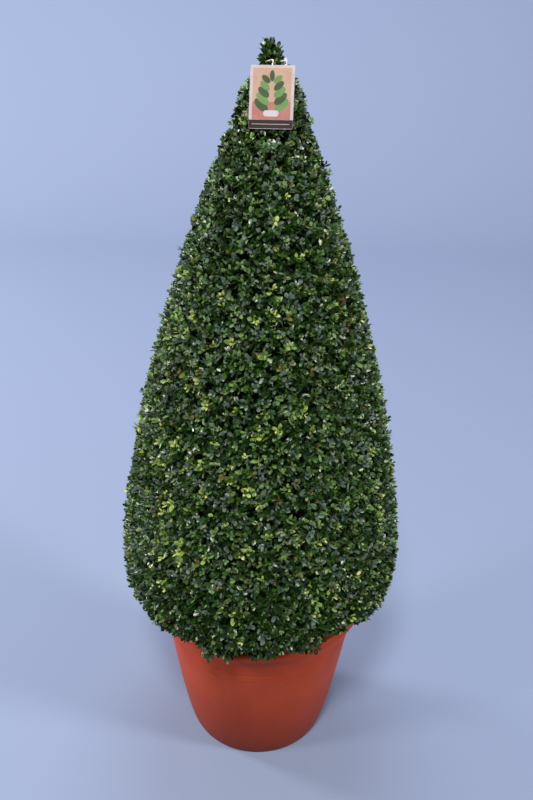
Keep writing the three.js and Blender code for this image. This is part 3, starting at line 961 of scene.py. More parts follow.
@dataclass
class Crown:
    """The clipped cone: boughs off the stem, branchlets, shoots and pairs of leaves."""

    label: "Label"
    outline: ConeOutline = field(default_factory=ConeOutline)
    mix: LeafMix = field(default_factory=LeafMix)
    seed: int = 1427
    # the shoots and how the shears left them
    shoots: int = 7900
    crowding: float = 0.3
    scatter: float = 4.0 * MM
    shoot_length: float = 42.0 * MM
    sunk: float = 2.8 * MM
    cut_short: float = 2.8 * MM
    grown_share: float = 0.035
    grown_length: tuple = (3.0 * MM, 8.0 * MM)
    grown_within: float = 0.93
    swell: float = 3.0 * MM
    swell_length: float = 0.13
    crests: tuple = ((1.23, 0.16, 4.5 * MM), (1.345, 0.03, 7.0 * MM))
    upward: float = 0.6
    wander: float = 0.34
    wander_limit: float = 1.8
    size_power: float = 0.12
    smallest: float = 0.75
    # the skirt: lifts of its edge in millimetres, by degrees round to the right of the front
    underside: float = 0.40
    underside_blend: float = 0.06
    skirt_top: float = 0.460
    skirt_fade: float = 0.05
    skirt_ragged: float = 3.0 * MM
    ragged_length: float = 0.03
    skirt_lifts: tuple = (
        (-60.0, 0.0),
        (-50.0, -10.0),
        (-41.0, 0.0),
        (-33.0, -4.0),
        (-28.0, 14.0),
        (-25.0, 0.0),
        (-21.5, -36.0),
        (-17.0, 0.0),
        (-12.5, -12.0),
        (-9.5, 0.0),
        (-6.0, 22.0),
        (-1.0, -7.0),
        (6.0, -3.0),
        (11.5, 15.0),
        (16.0, 3.0),
        (20.0, 3.0),
        (25.0, -11.0),
        (26.6, -10.0),
        (27.2, 31.0),
        (33.0, 22.0),
        (38.0, 29.0),
        (45.0, 13.0),
        (60.0, 0.0),
    )
    # the leaves: at each node their splay in degrees and their share of the full size
    leaf_length: float = 13.2 * MM
    leaf_ratio: float = 0.57
    node_spacing: float = 5.0 * MM
    first_node: float = 0.35
    splay: tuple = (24.0, 42.0, 54.0, 62.0, 70.0)
    sizes: tuple = (0.62, 0.86, 1.02, 1.08, 1.1)
    vigour: tuple = (0.85, 1.15)
    spin_noise: float = 0.22
    splay_noise: float = 12.0
    roll_noise: float = 0.75
    length_range: tuple = (0.68, 1.2)
    width_range: tuple = (0.88, 1.12)
    # the leaves further in, mostly dark: partly shade leaves, partly painted shade
    inner_shoots: int = 1900
    inner_depth: tuple = (34.0 * MM, 62.0 * MM)
    inner_length: tuple = (1.5, 1.9)
    inner_ratio: float = 0.66
    inner_scatter: float = 6.0 * MM
    inner_dark: float = 0.9
    # the wood
    leader_top: float = 1.372
    leader_radii: tuple = (12.0 * MM, 3.2 * MM)
    leader_steps: int = 12
    leader_bend: float = 3.0 * MM
    leader_offset: float = 5.0 * MM
    stem_top: float = 0.440
    boughs: int = 46
    bough_reach: float = 0.55
    bough_reach_within: tuple = (0.03, 0.3)
    bough_starts: tuple = (0.38, 1.13)
    bough_ends: tuple = (0.40, 1.50)
    bough_taper: float = 0.4
    slimmest_at: float = 0.02
    branchlet_full_at: float = 0.16
    branchlet_least: float = 0.3
    branchlet_drop: float = 0.02
    inner_full_at: float = 0.12
    inner_least: float = 0.35
    leader_waves: tuple = (6.0, 5.0)
    leader_lap: float = 12.0 * MM
    bough_steps: int = 7
    bough_rise: float = 0.05
    bough_radii: tuple = (2.5 * MM, 6.0 * MM)
    branchlets: int = 620
    branchlet_depth: float = 0.085
    branchlet_rise: float = 0.03
    branchlet_steps: int = 5
    branchlet_radii: tuple = (2.6 * MM, 1.4 * MM)
    twig_rise: float = 0.012
    twig_radii: tuple = (1.5 * MM, 1.2 * MM, 1.0 * MM, 0.35 * MM)

    def grow(self, stock: LeafStock) -> list[bpy.types.Object]:
        """Grows the whole crown.

        Args:
            stock: Takes the leaves.

        Returns:
            The pieces of wood.
        """
        source = np.random.default_rng(self.seed)
        tips, axes, size = self.shoot_tips(source)
        self.leaf_out(stock, source, tips, axes, size)
        self.fill_in(stock, source)
        bases = tips - axes * (self.shoot_length * size)[:, None]
        return self.wood(tips, bases, size)

    def shoot_tips(self, source: np.random.Generator) -> tuple[np.ndarray, ...]:
        """Where the shoots end and which way they point.

        The shears leave every tip at or just under one surface: the outline, moved along its
        normal by a broad swell and by two crests round the plant, each a bell curve over
        height. A few shoots have grown past it since.

        Args:
            source: Draws the places and directions.

        Returns:
            The tips, the shoots' unit vectors, and their sizes as shares of the full size.
        """
        points, normals, radius = self.outline.places(self.shoots, self.crowding)
        count = len(points)
        broad = radius / self.outline.waist_radius
        sideways = source.normal(size=(count, 3)) * self.scatter
        points = points + sideways - normals * (sideways * normals).sum(-1, keepdims=True)
        height = points[:, 2]
        proud = self.swell * Waves(self.seed, self.swell_length).at(points) - self.sunk
        for middle, spread, rise in self.crests:
            proud += rise * np.exp(-(((height - middle) / spread) ** 2))
        proud -= np.abs(source.normal(size=count)) * self.cut_short
        grown = (source.random(count) < self.grown_share) & (broad < self.grown_within)
        proud += np.where(grown, source.uniform(*self.grown_length, count), 0.0)
        tips = points + normals * proud[:, None]
        tips[:, 2] += self.skirt_lift(tips)
        climb = np.clip((height - self.underside) / self.underside_blend, 0.0, 1.0)
        lift = self.upward * (1.0 - np.abs(normals[:, 2])) * climb
        noise = source.normal(size=(count, 3)).clip(-self.wander_limit, self.wander_limit)
        axes = normals + UP * lift[:, None] + noise * self.wander
        low = height < self.underside
        axes[low, 2] = np.minimum(axes[low, 2], 0.0)
        axes = unit(axes)
        size = np.clip(broad**self.size_power, self.smallest, 1.0)
        kept = self.label.clear(tips) & self.label.clear(tips - axes * self.shoot_length * 0.5)
        return tips[kept], axes[kept], size[kept]

    def skirt_lift(self, points: np.ndarray) -> np.ndarray:
        """How far the shears left the skirt's edge above or below the outline.

        The lifts are read off a table by the angle round from the front, to the right, and
        fade out at the top of the skirt.

        Args:
            points: An (n, 3) array of places.

        Returns:
            The lift at each, in metres.
        """
        angle = np.degrees(np.arctan2(points[:, 0], -points[:, 1]))
        angles, lifts = np.array(self.skirt_lifts).T
        share = np.clip((self.skirt_top - points[:, 2]) / self.skirt_fade, 0.0, 1.0)
        ragged = self.skirt_ragged * Waves(self.seed + 9, self.ragged_length).at(points)
        return (np.interp(angle, angles, lifts * MM) + ragged) * share

    def leaf_out(
        self,
        stock: LeafStock,
        source: np.random.Generator,
        tips: np.ndarray,
        axes: np.ndarray,
        size: np.ndarray,
    ) -> None:
        """Puts crossed pairs of leaves down each shoot, small and upright at its tip.

        A leaf's splay is its angle from the shoot, and each pair stands a quarter turn round
        from the pair before.

        Args:
            stock: Takes the leaves.
            source: Draws what varies.
            tips: The shoots' ends.
            axes: Their unit vectors.
            size: Their sizes as shares of the full size.
        """
        count = len(tips)
        spin = source.uniform(0.0, math.pi, count)
        vigour = source.uniform(*self.vigour, count)
        kinds = self.mix.of_shoots(source, tips)
        across = crosswise(axes)
        for node, (opening, share) in enumerate(zip(self.splay, self.sizes)):
            down = (self.first_node + node) * self.node_spacing * size * vigour
            root = tips - axes * down[:, None]
            for way in (0.0, math.pi):
                turn = spin + node * QUARTER_TURN + way
                turn = turn + source.normal(size=count) * self.spin_noise
                outward = turned(across, axes, turn)
                splay = opening + source.normal(size=count) * self.splay_noise
                splay = np.radians(splay)[:, None]
                along = unit(np.cos(splay) * axes + np.sin(splay) * outward)
                face = unit(np.sin(splay) * axes - np.cos(splay) * outward)
                roll = source.normal(size=count)[:, None] * self.roll_noise
                face = unit(np.cos(roll) * face + np.sin(roll) * np.cross(along, face))
                length = self.leaf_length * share * size
                length = length * source.uniform(*self.length_range, count)
                width = length * self.leaf_ratio * source.uniform(*self.width_range, count)
                kind = self.mix.at_node(source, kinds, node)
                reach = along * length[:, None]
                kept = self.label.clear(root + 0.5 * reach) & self.label.clear(root + reach)
                stock.add(kept, kind, root, along, face, length, width)

    def fill_in(self, stock: LeafStock, source: np.random.Generator) -> None:
        """Adds the leaves of the side shoots further in, which close the crown to view; their dark
        colour is partly painted shade.

        Args:
            stock: Takes the leaves.
            source: Draws what varies.
        """
        points, normals, radius = self.outline.places(self.inner_shoots, 0.0)
        count = len(points)
        narrow = np.clip(radius / self.inner_full_at, self.inner_least, 1.0)
        depth = source.uniform(*self.inner_depth, count) * narrow
        middles = points - normals * depth[:, None]
        for turn in range(4):
            spin = turn * QUARTER_TURN + source.uniform(0.0, QUARTER_TURN, count)
            outward = turned(crosswise(normals), normals, spin)
            along = unit(outward + normals * source.uniform(0.0, 0.5, (count, 1)))
            face = square_to(normals, along)
            length = self.leaf_length * source.uniform(*self.inner_length, count)
            root = middles + source.normal(size=(count, 3)) * self.inner_scatter
            # partly painted shade: most inner leaves are of the dark kind
            dark = source.random(count) < self.inner_dark
            kind = np.where(dark, LeafKind.DARK.number, LeafKind.DEEP.number)
            kept = self.label.clear(root) & self.label.clear(root + along * length[:, None])
            stock.add(kept, kind, root, along, face, length, length * self.inner_ratio)

    def wood(
        self, tips: np.ndarray, bases: np.ndarray, size: np.ndarray
    ) -> list[bpy.types.Object]:
        """The limbs: boughs from the stem, branchlets from the boughs, twigs from those.

        Args:
            tips: The shoots' ends.
            bases: The shoots' starts.
            size: The shoots' sizes as shares of the full size.

        Returns:
            The leader, the boughs, the branchlets and the twigs.
        """
        ends, normals, radius = self.outline.places(self.boughs, self.crowding)
        reach = self.bough_reach * np.clip(radius, *self.bough_reach_within)
        ends = ends - normals * reach[:, None]
        starts = UP * np.interp(ends[:, 2], self.bough_ends, self.bough_starts)[:, None]
        bough_lines = arcs(starts, ends, self.bough_rise, self.bough_steps)
        widths = (self.slimmest_at, self.outline.waist_radius)
        thick = np.interp(radius, widths, self.bough_radii)
        taper = np.linspace(1.0, self.bough_taper, self.bough_steps)

        inner, normals, radius = self.outline.places(self.branchlets, 0.0)
        narrow = np.clip(radius / self.branchlet_full_at, self.branchlet_least, 1.0)
        depth = self.branchlet_depth * narrow
        knots = inner - normals * depth[:, None] - UP * self.branchlet_drop
        joints = bough_lines[:, 2:].reshape(-1, 3)
        starts = joints[nearest(knots, joints)]
        branch_lines = arcs(starts, knots, self.branchlet_rise, self.branchlet_steps)
        branch_radii = np.linspace(*self.branchlet_radii, self.branchlet_steps)

        forks = knots[nearest(bases, knots)]
        middle = 0.5 * (forks + bases) + UP * self.twig_rise
        twig_lines = np.stack([forks, middle, bases, tips], axis=1)
        twig_radii = np.array(self.twig_radii) * size[:, None]
        return [
            self.leader(),
            limbs("boughs", bough_lines, thick[:, None] * taper, 6, BarkKind.OLD),
            limbs("branchlets", branch_lines, branch_radii, 3, BarkKind.YOUNG),
            limbs("twigs", twig_lines, twig_radii, 3, BarkKind.YOUNG),
        ]

    def leader(self) -> bpy.types.Object:
        """The leader, from the trunk's end to the tip: it bends by a sine across, a cosine in depth.

        Returns:
            The piece.
        """
        share = np.linspace(0.0, 1.0, self.leader_steps)
        across, deep = self.leader_waves
        x = self.leader_offset * (1.0 - share) + self.leader_bend * np.sin(across * share)
        y = self.leader_bend * np.cos(deep * share) * (1.0 - share)
        z = np.linspace(self.stem_top - self.leader_lap, self.leader_top, self.leader_steps)
        line = np.stack([x, y, z], axis=-1)[None]
        radii = np.linspace(*self.leader_radii, self.leader_steps)
        return limbs("leader", line, radii, 10, BarkKind.OLD)


# ------------------------------------------------------------------ tuft


@dataclass
class Tuft:
    """The unclipped shoots on the end of the leader, each placed by its tip in millimetres."""

    label: "Label"
    seed: int = 77
    base: float = 1.3703
    leader_top: float = 1.404
    fork: float = 1.388
    top: float = 1.4285
    first_leaf: float = 0.15
    leaf_lift: float = 0.15
    last_leaf_size: float = 0.8
    flattest_leaf: float = 0.2
    shoots: tuple = (
        (-11, -2, 1420),
        (-8, 3, 1427),
        (-5, -4, 1424),
        (-3, 1, 1424),
        (-12, 3, 1413),
        (-9, -8, 1412),
        (0, 0, 1431),
        (6, 1, 1415),
        (9, -3, 1419),
        (11, 2, 1416),
        (12, -4, 1410),
        (6, -8, 1409),
        (-2, -10, 1410),
        (3, 8, 1409),
        (-6, 10, 1407),
        (8, 9, 1405),
        (-13, -6, 1402),
        (-14, 2, 1400),
        (14, -2, 1401),
        (13, -8, 1398),
        (-9, -12, 1398),
        (8, -12, 1398),
        (0, -14, 1396),
        (-11, 8, 1400),
        (12, 8, 1398),
    )
    tip_drop: float = 6.0 * MM
    leaf_length: float = 12.5 * MM
    leaf_ratio: float = 0.6
    least_length: float = 4.0 * MM
    spacing: float = 3.6 * MM
    splay: tuple = (52.0, 20.0)
    splay_noise: float = 8.0
    length_range: tuple = (0.85, 1.1)
    kinds: tuple = (LeafKind.DEEP, LeafKind.DARK, LeafKind.BLUE, LeafKind.MID, LeafKind.FRESH)
    shares: tuple = (0.36, 0.4, 0.08, 0.1, 0.06)
    twig_radii: tuple = (1.3 * MM, 0.7 * MM)
    leader_radii: tuple = (3.2 * MM, 2.0 * MM)
    steps: int = 4

    def grow(self, stock: LeafStock) -> list[bpy.types.Object]:
        """Grows the tuft: a short leader that forks, with upright crossed pairs of leaves.

        Args:
            stock: Takes the leaves.

        Returns:
            The twigs and the end of the leader.
        """
        source = np.random.default_rng(self.seed)
        ends = np.array(self.shoots) * MM - UP * self.tip_drop
        fork = np.broadcast_to(UP * self.fork, ends.shape)
        for start, end in zip(fork, ends):
            self.leaf_out(stock, source, start, end)
        share = np.linspace(0.0, 1.0, self.steps)[:, None]
        stem = (UP * (self.base + (self.leader_top - self.base) * share))[None]
        twig_radii = np.linspace(*self.twig_radii, self.steps)
        leader_radii = np.linspace(*self.leader_radii, self.steps)
        twig_lines = arcs(fork, ends, 0.0, self.steps)
        return [
            limbs("tuft_twigs", twig_lines, twig_radii, 4, BarkKind.YOUNG),
            limbs("tuft_leader", stem, leader_radii, 8, BarkKind.YOUNG),
        ]

    def leaf_out(
        self, stock: LeafStock, source: np.random.Generator, start: np.ndarray, end: np.ndarray
    ) -> None:
        """Puts crossed pairs of leaves up one shoot, wide open at its foot and closed at its tip.

        Args:
            stock: Takes the leaves.
            source: Draws what varies.
            start: The shoot's foot.
            end: Its tip. No leaf reaches past the plant's top.
        """
        run = end - start
        count = max(int(float(np.linalg.norm(run)) / self.spacing), 3)
        share = np.linspace(self.first_leaf, 1.0, count)[:, None]
        roots = start * (1.0 - share) + end * share
        axis = np.broadcast_to(unit(run), roots.shape)
        spin = source.uniform(0.0, math.pi) + np.arange(count) * QUARTER_TURN
        for way in (0.0, math.pi):
            outward = turned(crosswise(axis), axis, spin + way)
            splay = np.linspace(*self.splay, count)
            splay = np.radians(splay + source.normal(size=count) * self.splay_noise)[:, None]
            lift = UP * self.leaf_lift
            along = unit(np.cos(splay) * axis + np.sin(splay) * outward + lift)
            face = square_to(unit(np.sin(splay) * axis - np.cos(splay) * outward), along)
            size = self.leaf_length * np.linspace(1.0, self.last_leaf_size, count)
            size = size * source.uniform(*self.length_range, count)
            room = (self.top - roots[:, 2]) / np.maximum(along[:, 2], self.flattest_leaf)
            size = np.minimum(size, np.maximum(room, self.least_length))
            kind = source.choice(numbers(*self.kinds), size=count, p=self.shares)
            reach = along * size[:, None]
            kept = self.label.clear(roots + 0.5 * reach) & self.label.clear(roots + reach)
            stock.add(kept, kind, roots, along, face, size, size * self.leaf_ratio)


# ------------------------------------------------------------------ pot, compost and stem


@dataclass
class Pot:
    """The moulded pot: rounded foot, bellied side, two raised lines, cove and broad rim."""

    height: float = 0.356
    foot_radius: float = 0.1355
    foot_rounding: float = 7.0 * MM
    foot_inset: float = 4.0 * MM
    foot_turn: float = -0.18
    underside_radius: float = 0.05
    side_start: float = 14.0 * MM
    line_heights: tuple = (0.260, 0.280)
    line_step: float = 1.2 * MM
    line_bevel: float = 2.0 * MM
    line_clearance: float = 5.0 * MM
    groove_depth: float = 1.1 * MM
    groove_width: float = 1.5 * MM
    undercut_depth: float = 0.6 * MM
    undercut_width: float = 2.5 * MM
    waist_radius: float = 0.186
    side_bulge: float = 0.7
    band_flare: float = 0.8 * MM
    cove_foot: float = 0.304
    cove_curl: float = 1.8
    rim_radius: float = 0.215
    rim_fall: float = 14.0 * MM
    rim_edge: float = 7.0 * MM
    rim_width: float = 29.0 * MM
    rim_turn: float = 7.0 * MM
    rim_dip: float = 0.8 * MM
    inner_edge: float = 2.0 * MM
    wall: float = 4.5 * MM
    floor: float = 6.0 * MM
    floor_fillet: tuple = (4.0 * MM, 3.0 * MM)
    sides: int = 256

    @property
    def cove_top(self) -> float:
        """The height at which the cove meets the rim's rounded edge."""
        return self.height - self.rim_fall

    def side(self, height: np.ndarray) -> np.ndarray:
        """Outer radius below the lower line: foot + (waist - foot) (z / line)^bulge."""
        share = (height / self.line_heights[0]) ** self.side_bulge
        return self.foot_radius + (self.waist_radius - self.foot_radius) * share

    def upper(self, height: np.ndarray) -> np.ndarray:
        """Outer radius from just below the lower line up to the rim.

        Each line is an eased step out with a fine groove at its foot, under a flared band.
        The cove turns out to the rim by a power of the way up it, and is undercut there.
        A groove and the undercut are bell curves over height.

        Args:
            height: Heights in metres.

        Returns:
            Their radii.
        """
        step, bevel, flare = self.line_step, self.line_bevel, self.band_flare
        radius = np.minimum(self.side(height), self.waist_radius)
        for line, top in zip(self.line_heights, (*self.line_heights[1:], self.cove_foot)):
            share = np.clip((height - line) / bevel, 0.0, 1.0)
            groove = np.exp(-(((height - line) / self.groove_width) ** 2))
            climb = np.clip((height - line - bevel) / (top - line - bevel), 0.0, 1.0)
            radius = radius + step * share**2 * (3.0 - 2.0 * share)
            radius = radius - self.groove_depth * groove + flare * climb
        reached = self.waist_radius + len(self.line_heights) * (step + flare)
        share = (height - self.cove_foot) / (self.cove_top - self.cove_foot)
        cove = (self.rim_radius - reached) * np.clip(share, 0.0, 1.0) ** self.cove_curl
        undercut = np.exp(-(((height - self.cove_top) / self.undercut_width) ** 2))
        return radius + cove - self.undercut_depth * undercut

    def rim(self) -> np.ndarray:
        """The rim's section: a rounded edge, a slightly dished top and a turned-down inner edge.

        Returns:
            An (n, 2) array of radius and height, from the cove over the top and back under it.
        """
        turn = np.linspace(0.0, QUARTER_TURN, 16)[1:]
        over_radius = self.rim_radius - self.rim_edge * (1.0 - np.cos(turn))
        over_height = self.height - self.rim_fall * (1.0 - np.sin(turn))
        inner, edge = self.rim_radius - self.rim_width, self.inner_edge
        share = np.linspace(0.0, 1.0, 14)[1:]
        top_radius = over_radius[-1] + (inner + edge - over_radius[-1]) * share
        top_height = self.height - self.rim_dip * np.sin(math.pi * share)
        fold = np.linspace(0.0, QUARTER_TURN, 6)[1:]
        fold_radius = inner + edge * (1.0 - np.sin(fold))
        fold_height = self.height - edge * (1.0 - np.cos(fold))
        back = [
            (inner, self.height - self.rim_turn),
            (inner + self.wall, self.height - self.rim_turn),
            (self.rim_radius - self.rim_edge - self.wall, self.height - self.wall),
        ]
        radius = np.concatenate([over_radius, top_radius, fold_radius])
        height = np.concatenate([over_height, top_height, fold_height])
        return np.concatenate([np.stack([radius, height], axis=-1), back])

    def profile(self) -> np.ndarray:
        """The closed section, from the axis under the floor round the wall to the axis inside.

        Returns:
            An (n, 2) array of radius and height.
        """
        turn = np.linspace(-QUARTER_TURN, self.foot_turn, 8)
        foot_radius = self.foot_radius - self.foot_inset + self.foot_rounding * np.cos(turn)
        foot_height = self.foot_rounding * (1.0 + np.sin(turn))
        first_line = self.line_heights[0]
        split = first_line - self.line_clearance
        low = np.linspace(self.side_start, split, 40)
        high = np.linspace(split, self.cove_top, 200)[1:]
        fillet_radius, fillet_height = self.floor_fillet
        inner_high = np.linspace(self.cove_top, first_line, 24)
        inner_low = np.linspace(first_line, self.floor + fillet_height, 16)[1:]
        floor_radius = self.side(self.floor) - self.wall - fillet_radius
        sections = [
            np.array([[0.0, 0.0], [self.underside_radius, 0.0]]),
            np.stack([foot_radius, foot_height], axis=-1),
            np.stack([self.side(low), low], axis=-1),
            np.stack([self.upper(high), high], axis=-1),
            self.rim(),
            np.stack([self.upper(inner_high) - self.wall, inner_high], axis=-1),
            np.stack([self.side(inner_low) - self.wall, inner_low], axis=-1),
            np.array([[floor_radius, self.floor], [0.0, self.floor]]),
        ]
        return np.concatenate(sections)

    def build(self) -> bpy.types.Object:
        """Builds and dresses the shell."""
        return revolve("pot_shell", self.profile(), self.sides, MouldedPlastic().make())


@dataclass
class CompostBed:
    """The visible top of the compost, crumbly, sagging a little towards the wall."""

    level: float = 0.3215
    edge_drop: float = 6.0 * MM
    radius: float = 0.1855
    first_ring: float = 0.03
    rings: int = 70
    sides: int = 220
    depth: float = 0.03
    highest_crumb: float = 1.5 * MM
    clods: tuple = (1.6 * MM, 0.02, 4)
    crumbs: tuple = (0.9 * MM, 0.007, 8)
    waves: int = 24

    def build(self) -> bpy.types.Object:
        """Builds the bed: height is level minus the sag plus two scales of crumbs.

        Returns:
            The piece: a bumpy disc with a short skirt.
        """
        share = np.linspace(self.first_ring, 1.0, self.rings)
        angle = round_angles(self.sides)
        flat = polar(self.radius * share[:, None], angle[None, :], 0.0).reshape(-1, 3)
        bumps = sum(
            rise * Waves(seed, size, self.waves).at(flat)
            for rise, size, seed in (self.clods, self.crumbs)
        )
        middle = self.level - self.highest_crumb
        sag = self.edge_drop * np.repeat(share, self.sides) ** 2
        flat[:, 2] = middle - sag + np.minimum(bumps, self.highest_crumb)
        skirt = polar(self.radius, angle, self.level - self.edge_drop - self.depth)
        points = np.concatenate([flat, skirt, [[0.0, 0.0, middle]]])
        rows = grid_faces(self.rings + 1, self.sides, True)[:, ::-1]
        cap = fan_faces(len(points) - 1, 0, self.sides)
        return make_piece("compost_bed", points, [rows, cap], Compost().make())


@dataclass
class Trunk:
    """The short trunk, with its buttressed foot and ridged bark."""

    foot: float = 0.320
    top: float = 0.440
    radius: float = 16.6 * MM
    tip_radius: float = 12.6 * MM
    flare: float = 15.0 * MM
    flare_start: float = 2.3 * MM
    flare_decay: float = 16.0 * MM
    lobes: int = 5
    lobe_depth: float = 0.16
    lean: tuple = (5.0 * MM, 3.0 * MM, 0.0)
    ridge: float = 0.7 * MM
    ridge_width: float = 0.011
    ridge_stretch: tuple = (1.0, 1.0, 0.3)
    ridge_seed: int = 12
    ridge_waves: int = 18
    sides: int = 72
    rings: int = 60

    def build(self) -> bpy.types.Object:
        """Builds the trunk: radius is the taper plus an exponential flare, lobed, with bark.

        Returns:
            The piece, closed at its top and open at its foot in the compost.
        """
        share = np.linspace(0.0, 1.0, self.rings)[:, None]
        angle = round_angles(self.sides)[None, :]
        height = self.foot + (self.top - self.foot) * share
        rise = np.maximum(height - self.foot - self.flare_start, 0.0)
        flare = np.exp(-rise / self.flare_decay)
        radius = self.radius + (self.tip_radius - self.radius) * share + self.flare * flare
        radius = radius * (1.0 + self.lobe_depth * flare * np.cos(self.lobes * angle))
        stretched = polar(radius, angle, height) * np.array(self.ridge_stretch)
        ridges = Waves(self.ridge_seed, self.ridge_width, self.ridge_waves).at(stretched)
        radius = radius + self.ridge * ridges
        points = polar(radius, angle, height) + np.array(self.lean) * share[..., None]
        flat = points.reshape(-1, 3)
        centre = flat[-self.sides :].mean(axis=0, keepdims=True)
        cap = fan_faces(len(flat), len(flat) - self.sides, self.sides)
        faces = [grid_faces(self.rings, self.sides, True), cap]
        points = np.concatenate([flat, centre])
        return make_piece("trunk_bark", points, faces, BarkKind.OLD.value.make())


# ------------------------------------------------------------------ label


@dataclass(frozen=True)
class Panel:
    """A rounded rectangle printed on the card, at a height above the card's middle."""

    name: str
    width: float
    length: float
    corner: float
    height: float
    layer: int
    ink: Ink

    def outline(self) -> np.ndarray:
        """The panel's edge on the card."""
        return rounded(self.width, self.length, self.corner) + np.array([0.0, self.height])


def rounded(width: float, length: float, corner: float) -> np.ndarray:
    """A rectangle with a quarter circle at each corner, anticlockwise.

    Args:
        width: Its width.
        length: Its length.
        corner: The corners' radius.

    Returns:
        An (n, 2) array of points round its middle.
    """
    turn = np.linspace(0.0, QUARTER_TURN, 6) + np.arange(4)[:, None] * QUARTER_TURN
    ways = np.array([(1, 1), (-1, 1), (-1, -1), (1, -1)])[:, None]
    middles = ways * (np.array([width, length]) / 2.0 - corner)
    arc = np.stack([np.cos(turn), np.sin(turn)], axis=-1)
    return (middles + corner * arc).reshape(-1, 2)


def oval(middle: tuple, long_half: float, short_half: float, lean: float) -> np.ndarray:
    """An oval: (short cos a, long sin a), turned.

    Args:
        middle: Its middle.
        long_half: Half its length.
        short_half: Half its width.
        lean: Angle in degrees by which its length is turned from upright.

    Returns:
        A (24, 2) array of points.
    """
    angle = round_angles(24)
    upright = np.stack([short_half * np.cos(angle), long_half * np.sin(angle)], axis=-1)
    lean = math.radians(lean)
    turn = np.array([[math.cos(lean), -math.sin(lean)], [math.sin(lean), math.cos(lean)]])
    return upright @ turn.T + np.array(middle)


